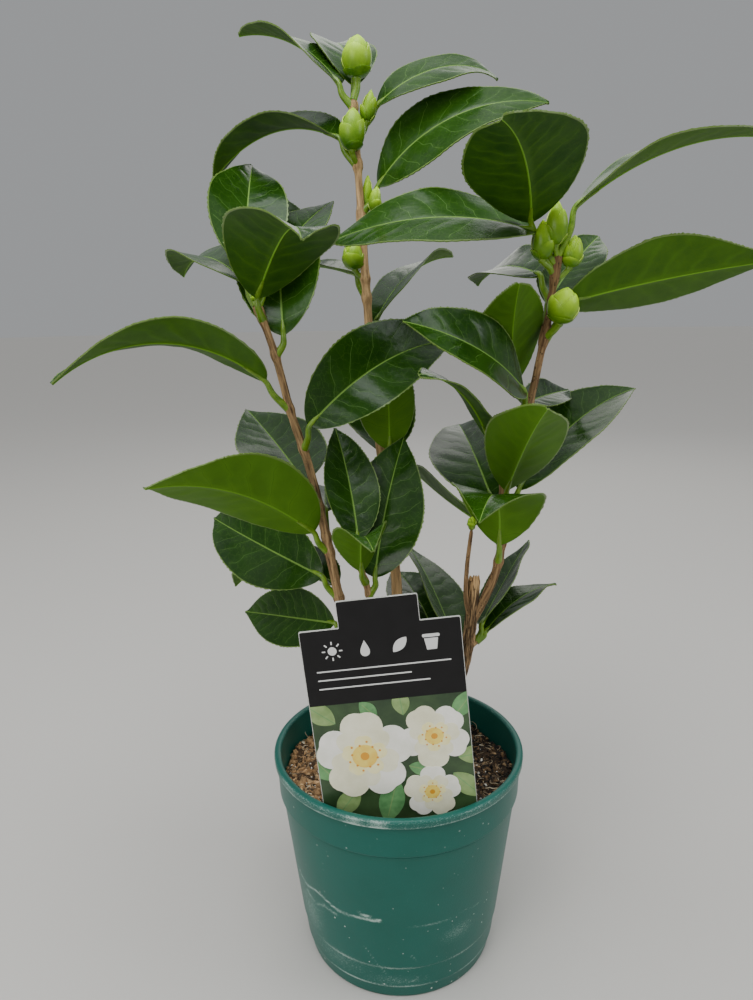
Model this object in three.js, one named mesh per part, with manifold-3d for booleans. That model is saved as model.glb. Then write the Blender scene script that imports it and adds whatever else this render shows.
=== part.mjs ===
// Camellia shrub in its nursery pot, with a picture tag stuck in the soil.
// Millimetres, +Z up. The origin is the centre of the pot's flat underside, and the tag faces -Y.
// Headings are compass angles seen from above: 0 is +Y (the back), 90 is +X (the right), 180 is the front.

import * as THREE from "three";
import { mergeVertices } from "three/addons/utils/BufferGeometryUtils.js";
import Module from "manifold-3d";

const wasm = await Module();
wasm.setup();

// Clearance between neighbouring solids
const gap = 0.3;

// Pot
const potHeight = 113;
const rimRadius = 65;
const rimHeight = 4.2;
const rimDepth = 3.8;
const collarRadius = 62.8;
const collarFoot = 92;
const wallTopRadius = 61.4;
const wallFootRadius = 50.2;
const baseRadius = 49.2;
const wallThickness = 1.5;
const floorThickness = 2;
const upperRingHeight = 21;
const lowerRingHeight = 8;
const ringStep = 0.5;
const potSides = 36;
const drainHoles = 6;
const drainHoleRadius = 4;
const drainHoleCircle = 35;

// Soil
const soilHeight = 98;
const soilRelief = 2.2;
const soilFlatRadius = 16;

// Tag
const tagThickness = 1;
const tagWidth = 71.5;
const tagShoulderHeight = 201;
const tagTabWidth = 36;
const tagTabHeight = 12.5;
const tagPanelFoot = 101;
const tagStakeWidth = 16;
const tagStakeFoot = 52;
const tagLean = 5.5;
const tagPlace = new THREE.Vector3(-0.6, -48, 112);

// Leaf blade and petiole
const bladeThickness = 1;
const bladeSpans = 6;
const bladeColumns = [-1, 0, 1];
const leastHalfWidth = 0.7;
const petioleReach = 8;
const petioleLift = 12;
const petioleRadius = 1.2;
const spurReach = 7;
const spurLift = 3;
const spurRadius = 1.6;
const trunkFlare = 4.5;
const trunkTop = 124;
const usualBud = { reach: 5, lift: 5, lean: 10, stalk: 1.3 };
const usualLeaf = {
  arch: 35, sweep: 0, roll: 0, breadth: 0.47, fold: 12, reach: petioleReach, lift: petioleLift,
};

const colours = {
  pot: 0x215a50,
  soil: 0x3b2a20,
  tag: 0x2a282a,
  bark: 0x8a6d52,
  leaf: 0x2c5a22,
};
const roughness = { pot: 0.4, soil: 0.95, tag: 0.35, bark: 0.85, leaf: 0.4 };

const up = new THREE.Vector3(0, 0, 1);

function headingVector(degrees) {
  const angle = THREE.MathUtils.degToRad(degrees);
  return new THREE.Vector3(Math.sin(angle), Math.cos(angle), 0);
}

// Seeded numbers between 0 and 1
function makeRandom(seed) {
  let state = seed;
  return () => {
    state = (state * 16807) % 2147483647;
    return state / 2147483647;
  };
}

function bareCopy(geometry) {
  const bare = geometry.clone();
  bare.deleteAttribute("normal");
  bare.deleteAttribute("uv");
  return bare;
}

// A closed three.js geometry as a solid for joining and cutting
function toSolid(geometry) {
  const merged = mergeVertices(bareCopy(geometry), 1e-4);
  return new wasm.Manifold(new wasm.Mesh({
    numProp: 3,
    vertProperties: new Float32Array(merged.attributes.position.array),
    triVerts: new Uint32Array(merged.index.array),
  }));
}

function toGeometry(solid) {
  const mesh = solid.getMesh();
  const geometry = new THREE.BufferGeometry();
  geometry.setAttribute("position", new THREE.BufferAttribute(mesh.vertProperties, 3));
  geometry.setIndex(new THREE.BufferAttribute(mesh.triVerts, 1));
  geometry.computeVertexNormals();
  return geometry;
}

// A closed skin over rows of points: each row is a ring, and the first and last rows are capped
function skinOfRings(rings) {
  const sides = rings[0].length;
  const positions = rings.flat().flatMap((point) => point.toArray());
  const index = [];
  for (let row = 0; row < rings.length - 1; row++) {
    for (let side = 0; side < sides; side++) {
      const next = (side + 1) % sides;
      const a = row * sides + side;
      const b = row * sides + next;
      index.push(a, b, b + sides, a, b + sides, a + sides);
    }
  }
  const last = (rings.length - 1) * sides;
  for (let side = 1; side < sides - 1; side++) {
    index.push(0, side + 1, side);
    index.push(last, last + side, last + side + 1);
  }
  const geometry = new THREE.BufferGeometry();
  geometry.setAttribute("position", new THREE.Float32BufferAttribute(positions, 3));
  geometry.setIndex(index);
  return geometry;
}

// A tapering limb along a curve; radiusAt gives its radius from 0 at the foot to 1 at the tip
function limbGeometry(curve, radiusAt, spans, sides) {
  const rings = [];
  const side = new THREE.Vector3(1, 0, 0);
  for (let row = 0; row <= spans; row++) {
    const t = row / spans;
    const centre = curve.getPoint(t);
    const along = curve.getTangent(t);
    side.addScaledVector(along, -side.dot(along)).normalize();
    const across = along.clone().cross(side);
    const ring = [];
    for (let k = 0; k < sides; k++) {
      const angle = (k / sides) * 2 * Math.PI;
      ring.push(centre.clone()
        .addScaledVector(side, Math.cos(angle) * radiusAt(t))
        .addScaledVector(across, Math.sin(angle) * radiusAt(t)));
    }
    rings.push(ring);
  }
  return skinOfRings(rings);
}

// The stretch of a stem's route between two heights, as a curve
function stretch(route, fromHeight, toHeight, steps = 8) {
  const points = [];
  for (let k = 0; k <= steps; k++) {
    points.push(pointAtHeight(route, fromHeight + ((toHeight - fromHeight) * k) / steps));
  }
  return new THREE.CatmullRomCurve3(points);
}

function pointAtHeight(route, height) {
  let low = 0;
  let high = 1;
  for (let k = 0; k < 24; k++) {
    const middle = (low + high) / 2;
    if (route.curve.getPoint(middle).z < height) {
      low = middle;
    } else {
      high = middle;
    }
  }
  return route.curve.getPoint((low + high) / 2);
}

// A stem's radius tapers evenly with height
function radiusAtHeight(route, height) {
  const foot = route.points[0][2];
  const tip = route.points[route.points.length - 1][2];
  return THREE.MathUtils.mapLinear(height, foot, tip, route.footRadius, route.tipRadius);
}

function stemSolid(route, fromHeight, toHeight, extra = 0) {
  const span = toHeight - fromHeight;
  const rows = Math.max(2, Math.round(span / 14));
  const radiusAt = (t) => radiusAtHeight(route, fromHeight + span * t) + extra;
  return toSolid(limbGeometry(stretch(route, fromHeight, toHeight), radiusAt, rows, 8));
}

// Half width of a blade as a share of its greatest half width
function outline(t) {
  return Math.sin(Math.PI * t ** 0.85) ** 0.72 * (1 - 0.25 * t ** 3);
}

// The blade's midrib point and its side, upper-face and forward directions from foot (0) to tip (1)
function bladeFrames(leaf, foot) {
  const level = headingVector(leaf.heading + 90);
  const rise = THREE.MathUtils.degToRad(leaf.rise);
  const roll = THREE.MathUtils.degToRad(leaf.roll);
  const forward = headingVector(leaf.heading).multiplyScalar(Math.cos(rise))
    .addScaledVector(up, Math.sin(rise));
  const upright = level.clone().cross(forward);
  const side = level.clone().multiplyScalar(Math.cos(roll)).addScaledVector(upright, -Math.sin(roll));
  const face = upright.clone().multiplyScalar(Math.cos(roll)).addScaledVector(level, Math.sin(roll));
  const directionAt = (t) => {
    const bend = THREE.MathUtils.degToRad(leaf.arch) * t;
    const swing = THREE.MathUtils.degToRad(leaf.sweep) * t;
    return forward.clone().multiplyScalar(Math.cos(bend) * Math.cos(swing))
      .addScaledVector(face, -Math.sin(bend) * Math.cos(swing))
      .addScaledVector(side, Math.sin(swing));
  };
  const frames = [];
  const centre = foot.clone();
  for (let row = 0; row <= bladeSpans; row++) {
    const t = row / bladeSpans;
    if (row > 0) {
      centre.addScaledVector(directionAt(t - 0.5 / bladeSpans), leaf.length / bladeSpans);
    }
    const along = directionAt(t);
    const bend = THREE.MathUtils.degToRad(leaf.arch) * t;
    const upper = face.clone().multiplyScalar(Math.cos(bend)).addScaledVector(forward, Math.sin(bend));
    frames.push({ t, centre: centre.clone(), side: along.clone().cross(upper), upper });
  }
  return frames;
}

// A blade: two folded halves either side of the midrib, closed all round
function bladeSolid(leaf, foot) {
  const fold = THREE.MathUtils.degToRad(leaf.fold);
  const greatest = (leaf.length * leaf.breadth) / 2;
  const rings = bladeFrames(leaf, foot).map(({ t, centre, side, upper }) => {
    const half = Math.max(greatest * outline(t), leastHalfWidth);
    const at = (column, lift) => centre.clone()
      .addScaledVector(side, column * half * Math.cos(fold))
      .addScaledVector(upper, Math.abs(column) ** 1.3 * half * Math.sin(fold) + lift);
    const under = bladeColumns.map((column) => at(column, -bladeThickness / 2));
    const over = bladeColumns.map((column) => at(column, bladeThickness / 2));
    return [...over, ...under.reverse()];
  });
  return toSolid(skinOfStrips(rings));
}

// As skinOfRings, with the flat end strips closed column by column
function skinOfStrips(rings) {
  const geometry = skinOfRings(rings);
  const sides = rings[0].length;
  const capTriangles = 2 * (sides - 2);
  const index = Array.from(geometry.index.array).slice(0, -3 * capTriangles);
  const last = (rings.length - 1) * sides;
  for (let k = 0; k < sides / 2 - 1; k++) {
    const [a, b, c, d] = [k, k + 1, sides - 2 - k, sides - 1 - k];
    index.push(a, c, b, a, d, c);
    index.push(last + a, last + b, last + c, last + a, last + c, last + d);
  }
  geometry.setIndex(index);
  return geometry;
}

// The petiole rises from inside the stem and turns into the blade's midrib
function petioleSolid(leaf, root, foot) {
  const frames = bladeFrames(leaf, foot);
  const lead = frames[1].centre.clone().lerp(foot, 0.35);
  const elbow = root.clone().lerp(foot, 0.55).addScaledVector(headingVector(leaf.foot), 1.5);
  const curve = new THREE.CatmullRomCurve3([root, elbow, foot, lead]);
  return toSolid(limbGeometry(curve, (t) => petioleRadius * (1.15 - 0.5 * t), 3, 4));
}

// A bud is an egg shape on a stalk that rises from inside the stem
function budSolid(bud, root) {
  const lean = THREE.MathUtils.degToRad(bud.lean);
  const axis = headingVector(bud.foot).multiplyScalar(Math.sin(lean)).addScaledVector(up, Math.cos(lean));
  const start = root.clone()
    .addScaledVector(headingVector(bud.foot), bud.reach)
    .addScaledVector(up, bud.lift);
  const body = new THREE.LineCurve3(start, start.clone().addScaledVector(axis, bud.length));
  const swell = (t) => Math.max((bud.width / 2) * Math.sin(Math.PI * (0.08 + 0.88 * t) ** 0.9) ** 0.8, 0.6);
  const egg = toSolid(limbGeometry(body, swell, 4, 6));
  const sunk = start.clone().addScaledVector(axis, bud.length * 0.2);
  const stalk = toSolid(limbGeometry(new THREE.LineCurve3(root, sunk), () => bud.stalk, 1, 5));
  return egg.add(stalk);
}

// Stems and masses that the leaves keep clear of. A stem's leaves may touch the stem itself.
const placed = [];

function touches(solid, ownRoute) {
  return placed.some(({ route, solid: other }) => route !== ownRoute && solid.intersect(other).volume() > 0);
}

// A mass: a stem with its petioles, blades and buds fused on.
// A leaf or bud that would touch a limb or another mass is skipped.
function growMass(stem, leaves, buds = []) {
  let mass = stem.solid;
  for (const entry of leaves) {
    const leaf = { ...usualLeaf, foot: entry.heading, ...entry };
    const root = stem.pointAt(leaf.at);
    const foot = root.clone()
      .addScaledVector(headingVector(leaf.foot), leaf.reach)
      .addScaledVector(up, leaf.lift);
    const whole = bladeSolid(leaf, foot).add(petioleSolid(leaf, root, foot));
    if (!touches(whole, stem.route)) {
      mass = mass.add(whole);
    }
  }
  for (const entry of buds) {
    const bud = { ...usualBud, ...entry };
    const whole = budSolid(bud, stem.pointAt(bud.at));
    if (!touches(whole, stem.route)) {
      mass = mass.add(whole);
    }
  }
  placed.push({ solid: mass });
  return mass;
}

// The route of a stem, from its foot to its tip, through a few points
function makeRoute(footRadius, tipRadius, points) {
  const curve = new THREE.CatmullRomCurve3(points.map((point) => new THREE.Vector3(...point)));
  return { points, curve, footRadius, tipRadius };
}

// A bare limb: its foot is cut clear of the limbs that it grows from
function growLimb(route, fromHeight, toHeight, parents = []) {
  let limb = stemSolid(route, fromHeight, toHeight);
  let enlarged = stemSolid(route, fromHeight, toHeight, gap);
  for (const parent of parents) {
    limb = limb.subtract(parent.enlarged);
    enlarged = enlarged.subtract(parent.enlarged);
  }
  placed.push({ route, solid: enlarged });
  return { solid: limb, enlarged };
}

// The leafy stem of a mass that carries on from the tip of the limb or mass below it
function leafyStem(route, fromHeight, toHeight, parents = []) {
  let solid = stemSolid(route, fromHeight + gap, toHeight);
  for (const parent of parents) {
    solid = solid.subtract(parent.enlarged);
  }
  return { solid, route, pointAt: (height) => pointAtHeight(route, height) };
}

// The short spur of a mass that grows from the side of a limb
function spurStem(route, height, heading, parent) {
  const root = pointAtHeight(route, height);
  const tip = root.clone().addScaledVector(headingVector(heading), spurReach).addScaledVector(up, spurLift);
  const radiusAt = (t) => spurRadius * (1.2 - 0.4 * t);
  const spur = toSolid(limbGeometry(new THREE.LineCurve3(root, tip), radiusAt, 2, 6));
  const heel = root.clone().lerp(tip, 0.8);
  return { solid: spur.subtract(parent.enlarged), route: null, pointAt: () => heel };
}

// Stems of the shrub. Each point is across, back and up.
const trunkRoute = makeRoute(5.6, 5.2, [[1.8, 6, 96], [0.8, 7, 110], [0.2, 8.7, 126]]);
const middleRoute = makeRoute(3.3, 1.7, [
  [0, 8.2, 120], [0.6, 11, 150], [0.4, 14.5, 195], [-3.6, 20, 234], [-9.8, 23, 295],
  [-12.5, 24, 339], [-14.6, 24, 379], [-17.3, 24, 428],
]);
const leftRoute = makeRoute(3.1, 1.7, [
  [0, 7, 110], [-10, 5, 124], [-20, 2, 150], [-25.5, 0, 175], [-35.2, -1.8, 232],
  [-41.3, -2.4, 262], [-48.8, -2.9, 288], [-54.9, -3.5, 315], [-62.3, -4, 338],
]);
const rightRoute = makeRoute(3.9, 3.1, [
  [1, 7, 108], [13, 5, 118], [24, 2, 133], [31.5, 0.5, 148], [36.1, -0.5, 168], [38.6, -1, 203],
]);
const rightShootRoute = makeRoute(2.4, 1.6, [
  [37.5, -1, 180], [44.6, -1.4, 195], [48.7, -1.8, 206], [51.3, -2.3, 220], [51.5, -2.8, 248],
  [51.4, -3.2, 262], [62.8, -3.7, 292], [66.2, -4.2, 310], [69.6, -4.8, 330], [72.4, -6, 358],
]);
const innerRoute = makeRoute(2.1, 1.5, [
  [0.8, 9, 130], [-5, 1, 150], [-10.5, -7, 175], [-13.7, -12, 200], [-18.8, -14, 219],
]);
const twigRoute = makeRoute(1.4, 1, [[37.5, -1, 180], [34.4, -3, 194], [34.4, -4.6, 210], [36.4, -6, 232]]);

// Leaves and buds of each mass, from the lowest up.
// at is the height on the stem; foot is the petiole's heading where it isn't the blade's.
const leftLowLeaves = [
  { at: 167, heading: -52, rise: -8, roll: -62, arch: 8, length: 74, breadth: 0.45, foot: -70 },
  { at: 186, heading: -50, rise: 17, arch: 60, length: 87, fold: 20, foot: -20 },
  { at: 194, heading: -66, rise: 19, roll: -65, arch: 38, length: 89, foot: -95 },
  { at: 218, heading: -118, rise: 43, roll: 48, arch: 48, sweep: 6, length: 96, breadth: 0.52 },
  { at: 226, heading: -4, rise: 10, arch: 30, length: 78 },
  { at: 241, heading: -21, rise: 14, roll: -9, arch: -8, sweep: -10, length: 90, breadth: 0.52, foot: -65 },
];
const leftMiddleLeaves = [
  {
    at: 270, heading: 77, rise: 48, roll: 74, arch: 46, sweep: 32, length: 92, breadth: 0.45,
    fold: 24, foot: 150, reach: 7,
  },
  {
    at: 289, heading: -105, rise: 43, roll: 24, arch: 84, sweep: 8, length: 99,
    breadth: 0.43, reach: 11, lift: 14,
  },
];
const leftTopLeaves = [
  { at: 314, heading: -10, rise: 64, roll: -15, arch: 30, length: 90, foot: 80, reach: 4, lift: 9 },
  {
    at: 330, heading: 150, rise: 44, roll: -16, arch: 70, sweep: 5, length: 98,
    foot: 200, reach: 4, lift: 10,
  },
  { at: 334, heading: -50, rise: 38, roll: -14, arch: 70, sweep: 12, length: 77, fold: 18 },
  { at: 336, heading: 24, rise: 41, arch: 32, length: 86, reach: 7, lift: 13 },
  {
    at: 337, heading: 2, rise: 64, roll: 20, arch: 40, sweep: 8, length: 76, breadth: 0.5,
    foot: -80, reach: 5, lift: 16,
  },
];
const middleLowLeaves = [
  { at: 250, heading: -14, rise: 40, arch: 20, length: 90, breadth: 0.5, foot: 20, lift: 11 },
  { at: 254, heading: 184, rise: 87, roll: 20, arch: -14, length: 58, breadth: 0.54, foot: 140, reach: 5 },
  { at: 290, heading: 5, rise: 28, arch: 40, length: 84 },
  {
    at: 318, heading: 35, rise: 50, roll: -20, arch: 48, sweep: -12, length: 82,
    breadth: 0.42, reach: 5, lift: 10,
  },
];
const middleMiddleLeaves = [
  { at: 339, heading: -40, rise: 15, arch: 18, length: 62 },
  { at: 378, heading: 122, rise: 51, roll: 64, arch: 66, sweep: 22, length: 89, fold: 4, foot: 90 },
];
const middleMiddleBuds = [
  { at: 348, foot: -80, length: 13, width: 10, lean: 5 },
  { at: 376, foot: 40, length: 15, width: 4, reach: 3 },
  { at: 374, foot: 110, length: 11, width: 5, reach: 6 },
];
const middleTopLeaves = [
  {
    at: 399, heading: -60, rise: 31, roll: -15, arch: 78, sweep: -26, length: 81,
    breadth: 0.44, fold: 24, foot: -85,
  },
  {
    at: 413, heading: 114, rise: 36, roll: 44, arch: 78, sweep: -24, length: 68,
    breadth: 0.42, fold: 3, foot: 90,
  },
  { at: 424, heading: -55, rise: 46, roll: -5, arch: 44, length: 75, foot: -95, reach: 4 },
  {
    at: 424, heading: -13, rise: 60, roll: 5, arch: 66, length: 70, breadth: 0.45,
    foot: 0, reach: 6, lift: 11,
  },
];
const middleTopBuds = [
  { at: 399, foot: -150, length: 18.5, width: 10.5, reach: 5, lift: 6, lean: -5 },
  { at: 409, foot: 80, length: 14, width: 6, reach: 5, lift: 9 },
  { at: 427, foot: 60, length: 18, width: 13, reach: 2, lift: 9.5, lean: 3, stalk: 1.7 },
];
const innerLeaves = [
  {
    at: 200, heading: 22, rise: 70, roll: 10, arch: 14, sweep: 8, length: 71, breadth: 0.58,
    foot: 90, reach: 3, lift: 9,
  },
  {
    at: 207, heading: 206, rise: 80, roll: 38, arch: 103, length: 52, breadth: 0.54,
    fold: 26, reach: 3, lift: 6,
  },
  { at: 215, heading: -12, rise: 60, arch: 8, sweep: -8, length: 60, breadth: 0.48, fold: 22, reach: 4 },
];
const rightFootLeaves = [
  { heading: 30, rise: 24, roll: -38, arch: 4, length: 72, breadth: 0.42, foot: 60, reach: 3, lift: 8 },
  { heading: 44, rise: 28, roll: -15, arch: 36, length: 62, breadth: 0.45, foot: 72, reach: 5, lift: 4 },
];
const rightInnerLeaves = [
  { heading: -11, rise: 26, roll: 37, arch: 14, length: 84, fold: 18, reach: 4, lift: 8 },
  { heading: -16, rise: 24, roll: -6, arch: 30, length: 82, foot: -50, reach: 9, lift: 5 },
];
const rightLowLeaves = [
  { at: 212, heading: 184, rise: 76, roll: -15, arch: 105, length: 80, breadth: 0.54, reach: 4, lift: 11 },
  { at: 222, heading: -28, rise: 7, roll: 40, arch: -10, length: 84, foot: -55, reach: 10, lift: 9 },
];
const rightMiddleLeaves = [
  {
    at: 237, heading: -10, rise: 32, roll: -18, arch: 34, length: 92, breadth: 0.52,
    foot: -50, reach: 6, lift: 6,
  },
  {
    at: 239, heading: 55, rise: 47, roll: 10, arch: 38, sweep: 9, length: 94,
    fold: 16, foot: 80, lift: 10,
  },
  {
    at: 243, heading: 172, rise: 50, roll: -17, arch: 28, length: 79, breadth: 0.49,
    fold: 26, reach: 5.6, lift: 7,
  },
  {
    at: 261, heading: -145, rise: 53, roll: -36, arch: 45, sweep: -28, length: 77, breadth: 0.44,
    fold: 4, foot: -110, lift: 14,
  },
  { at: 279, heading: 27, rise: 12, roll: -15, arch: 14, length: 74 },
  {
    at: 286, heading: -142, rise: 37, roll: -66, arch: 36, sweep: -8, length: 78,
    foot: -165, reach: 9, lift: 11,
  },
  {
    at: 290, heading: -160, rise: 52, roll: 24, arch: 24, length: 68, breadth: 0.58, fold: 20,
    foot: -80, reach: 6, lift: 10,
  },
];
const rightTopLeaves = [
  {
    at: 318, heading: 80, rise: 14, roll: -44, arch: 18, sweep: 8, length: 97,
    foot: 60, reach: 13, lift: 18,
  },
  { at: 337, heading: 42, rise: 4, roll: 40, arch: 20, sweep: -10, length: 72 },
  { at: 336, heading: -27, rise: 20, roll: -26, arch: 48, length: 70 },
  {
    at: 348, heading: -107, rise: 17, roll: -35, arch: 56, sweep: 22, length: 96,
    fold: 5, reach: 9, lift: 16,
  },
  {
    at: 352, heading: -168, rise: 31, roll: 12, arch: 30, sweep: 18, length: 92, breadth: 0.55,
    foot: -95, reach: 12, lift: 18,
  },
  {
    at: 356, heading: 105, rise: 41, roll: 2, arch: 52, sweep: -24, length: 96, breadth: 0.42,
    foot: 90, reach: 7, lift: 20,
  },
];
const rightTopBuds = [
  { at: 320, foot: 160, length: 18, width: 13, reach: 7, lift: 7, lean: 12, stalk: 1.7 },
  { at: 345, foot: 80, length: 14, width: 9, reach: 7, lift: 6 },
  { at: 349, foot: -110, length: 17, width: 9, reach: 7, lift: 5, lean: 0 },
  { at: 355, foot: -150, length: 19, width: 9, reach: 3, lift: 5, lean: 0 },
];

// A turned profile about the Z axis; each point is a radius and a height
function turned(profile, sides) {
  const points = profile.map(([radius, height]) => new THREE.Vector2(radius, height));
  return new THREE.LatheGeometry(points, sides).rotateX(Math.PI / 2);
}

// Outer radius of the pot's tapered wall
function wallRadius(height) {
  return THREE.MathUtils.mapLinear(height, 0, collarFoot, wallFootRadius, wallTopRadius);
}

function makePot() {
  const innerRim = rimRadius - rimDepth;
  const profile = [
    [0, 0],
    [baseRadius, 0],
    [wallRadius(lowerRingHeight) - ringStep, lowerRingHeight - 0.6],
    [wallRadius(lowerRingHeight), lowerRingHeight],
    [wallRadius(upperRingHeight), upperRingHeight],
    [wallRadius(upperRingHeight) + ringStep, upperRingHeight + 0.6],
    [wallTopRadius, collarFoot],
    [collarRadius, collarFoot + 0.8],
    [collarRadius + 0.6, potHeight - rimHeight],
    [rimRadius, potHeight - rimHeight],
    [rimRadius, potHeight - 1.2],
    [rimRadius - 1, potHeight],
    [innerRim + 0.8, potHeight],
    [innerRim, potHeight - 1],
    [wallTopRadius - wallThickness, collarFoot],
    [wallRadius(floorThickness) - wallThickness, floorThickness],
    [0, floorThickness],
  ];
  let pot = toSolid(turned(profile, potSides));
  for (let hole = 0; hole < drainHoles; hole++) {
    const angle = ((hole + 0.5) / drainHoles) * 2 * Math.PI;
    const bore = new THREE.CylinderGeometry(drainHoleRadius, drainHoleRadius, 3 * floorThickness, 12);
    bore.rotateX(Math.PI / 2);
    bore.translate(Math.cos(angle) * drainHoleCircle, Math.sin(angle) * drainHoleCircle, floorThickness / 2);
    pot = pot.subtract(toSolid(bore));
  }
  return pot;
}

// The soil fills the pot to an uneven top that is flat round the trunk
function makeSoil(tagSlot) {
  const floor = floorThickness + gap;
  const edge = wallRadius(soilHeight) - wallThickness - 1.2;
  const rings = [edge * 0.87, edge * 0.7, edge * 0.52, soilFlatRadius];
  const profile = [
    [0, floor],
    [wallRadius(floor) - wallThickness - gap - 0.3, floor],
    [wallTopRadius - wallThickness - gap - 0.3, collarFoot],
    [edge, soilHeight],
    ...rings.map((radius) => [radius, soilHeight]),
    [0, soilHeight],
  ];
  const geometry = mergeVertices(bareCopy(turned(profile, 32)), 1e-4);
  const random = makeRandom(11);
  const position = geometry.attributes.position;
  for (let k = 0; k < position.count; k++) {
    const radius = Math.hypot(position.getX(k), position.getY(k));
    if (position.getZ(k) > soilHeight - 0.1 && radius > soilFlatRadius + 1) {
      position.setZ(k, soilHeight + soilRelief * (2 * random() - 1));
    }
  }
  return toSolid(geometry).subtract(tagSlot);
}

// The tag: a panel with a raised tab on top and a pointed stake below
function makeTag(extra = 0) {
  const panel = tagWidth / 2 + extra;
  const tab = tagTabWidth / 2;
  const stake = tagStakeWidth / 2 + extra;
  const shoulder = tagShoulderHeight - tagPlace.z;
  const panelFoot = tagPanelFoot - tagPlace.z - extra;
  const stakeFoot = tagStakeFoot - tagPlace.z - extra;
  const shape = new THREE.Shape();
  shape.moveTo(-panel, panelFoot);
  shape.lineTo(-stake, panelFoot);
  shape.lineTo(-stake, stakeFoot + tagStakeWidth);
  shape.lineTo(0, stakeFoot);
  shape.lineTo(stake, stakeFoot + tagStakeWidth);
  shape.lineTo(stake, panelFoot);
  shape.lineTo(panel, panelFoot);
  shape.lineTo(panel, shoulder);
  shape.lineTo(tab, shoulder);
  shape.lineTo(tab, shoulder + tagTabHeight);
  shape.lineTo(-tab, shoulder + tagTabHeight);
  shape.lineTo(-tab, shoulder);
  shape.lineTo(-panel, shoulder);
  const depth = tagThickness + 2 * extra;
  const geometry = new THREE.ExtrudeGeometry(shape, { depth, bevelEnabled: false });
  geometry.translate(0, 0, -depth / 2).rotateX(Math.PI / 2);
  geometry.rotateY(THREE.MathUtils.degToRad(-tagLean));
  geometry.translate(tagPlace.x, tagPlace.y, tagPlace.z);
  return toSolid(geometry);
}

// The trunk flares into the soil and is cut flat at its level
function makeTrunk() {
  const flare = (t) => trunkRoute.footRadius - 0.6 * t + trunkFlare * (1 - t) ** 3;
  const grow = (extra) => toSolid(limbGeometry(trunkRoute.curve, (t) => flare(t) + extra, 7, 10))
    .trimByPlane([0, 0, 1], soilHeight + gap - extra)
    .trimByPlane([0, 0, -1], -trunkTop - extra);
  const trunk = { solid: grow(0), enlarged: grow(gap) };
  placed.push({ route: trunkRoute, solid: trunk.enlarged });
  return trunk;
}

const trunk = makeTrunk();
const middle = growLimb(middleRoute, 120, 243, [trunk]);
const left = growLimb(leftRoute, 110, 163, [trunk, middle]);
const right = growLimb(rightRoute, 108, 203, [trunk, middle]);
const inner = growLimb(innerRoute, 132, 197, [middle]);
const twig = growLimb(twigRoute, 180, 232, [right]);
for (const [route, fromHeight, toHeight] of [
  [middleRoute, 243, 428], [leftRoute, 163, 338], [innerRoute, 197, 218], [rightShootRoute, 190, 358],
]) {
  placed.push({ route, solid: stemSolid(route, fromHeight, toHeight, gap) });
}

const solids = {
  pot: [makePot(), "pot"],
  soil: [makeSoil(makeTag(gap)), "soil"],
  tag: [makeTag(), "tag"],
  trunk: [trunk.solid, "bark"],
  bough_middle: [middle.solid, "bark"],
  bough_left: [left.solid, "bark"],
  bough_right: [right.solid, "bark"],
  bough_inner: [inner.solid, "bark"],
  twig_right: [twig.solid, "bark"],
  foliage_left_low: [growMass(leafyStem(leftRoute, 163, 252), leftLowLeaves), "leaf"],
  foliage_left_middle: [growMass(leafyStem(leftRoute, 252, 312), leftMiddleLeaves), "leaf"],
  foliage_left_top: [growMass(leafyStem(leftRoute, 312, 338), leftTopLeaves), "leaf"],
  foliage_middle_low: [growMass(leafyStem(middleRoute, 243, 334), middleLowLeaves), "leaf"],
  foliage_middle_middle: [growMass(leafyStem(middleRoute, 334, 393), middleMiddleLeaves, middleMiddleBuds), "leaf"],
  foliage_middle_top: [growMass(leafyStem(middleRoute, 393, 428), middleTopLeaves, middleTopBuds), "leaf"],
  foliage_inner: [growMass(leafyStem(innerRoute, 197, 218), innerLeaves), "leaf"],
  foliage_right_foot: [growMass(spurStem(rightRoute, 166, 60, right), rightFootLeaves), "leaf"],
  foliage_right_inner: [growMass(spurStem(rightRoute, 156, -40, right), rightInnerLeaves), "leaf"],
  foliage_right_low: [growMass(leafyStem(rightShootRoute, 180, 234, [right]), rightLowLeaves), "leaf"],
  foliage_right_middle: [growMass(leafyStem(rightShootRoute, 234, 302), rightMiddleLeaves), "leaf"],
  foliage_right_top: [growMass(leafyStem(rightShootRoute, 302, 358), rightTopLeaves, rightTopBuds), "leaf"],
};

const shrub = new THREE.Group();
for (const [name, [solid, finish]] of Object.entries(solids)) {
  const look = { color: colours[finish], roughness: roughness[finish], metalness: 0 };
  const mesh = new THREE.Mesh(toGeometry(solid), new THREE.MeshStandardMaterial(look));
  mesh.name = name;
  shrub.add(mesh);
}

export default shrub;
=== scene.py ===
import math

import bmesh
import bpy
import numpy as np
from mathutils import Matrix, Vector


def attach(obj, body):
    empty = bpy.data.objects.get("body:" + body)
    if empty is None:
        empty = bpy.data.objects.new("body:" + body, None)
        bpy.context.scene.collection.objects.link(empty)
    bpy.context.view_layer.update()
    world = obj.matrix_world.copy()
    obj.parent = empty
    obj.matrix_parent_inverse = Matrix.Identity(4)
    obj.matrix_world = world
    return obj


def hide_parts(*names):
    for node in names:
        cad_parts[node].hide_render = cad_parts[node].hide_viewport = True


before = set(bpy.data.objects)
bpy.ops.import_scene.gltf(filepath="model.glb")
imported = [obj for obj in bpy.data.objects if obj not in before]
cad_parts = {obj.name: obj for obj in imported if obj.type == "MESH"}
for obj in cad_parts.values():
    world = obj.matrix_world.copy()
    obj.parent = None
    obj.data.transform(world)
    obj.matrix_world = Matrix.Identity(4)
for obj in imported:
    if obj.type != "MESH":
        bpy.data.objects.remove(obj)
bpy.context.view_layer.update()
mm = 0.001
fullTurn = 2 * math.pi
up = np.array([0.0, 0.0, 1.0])

# Camera, light and floor

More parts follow.
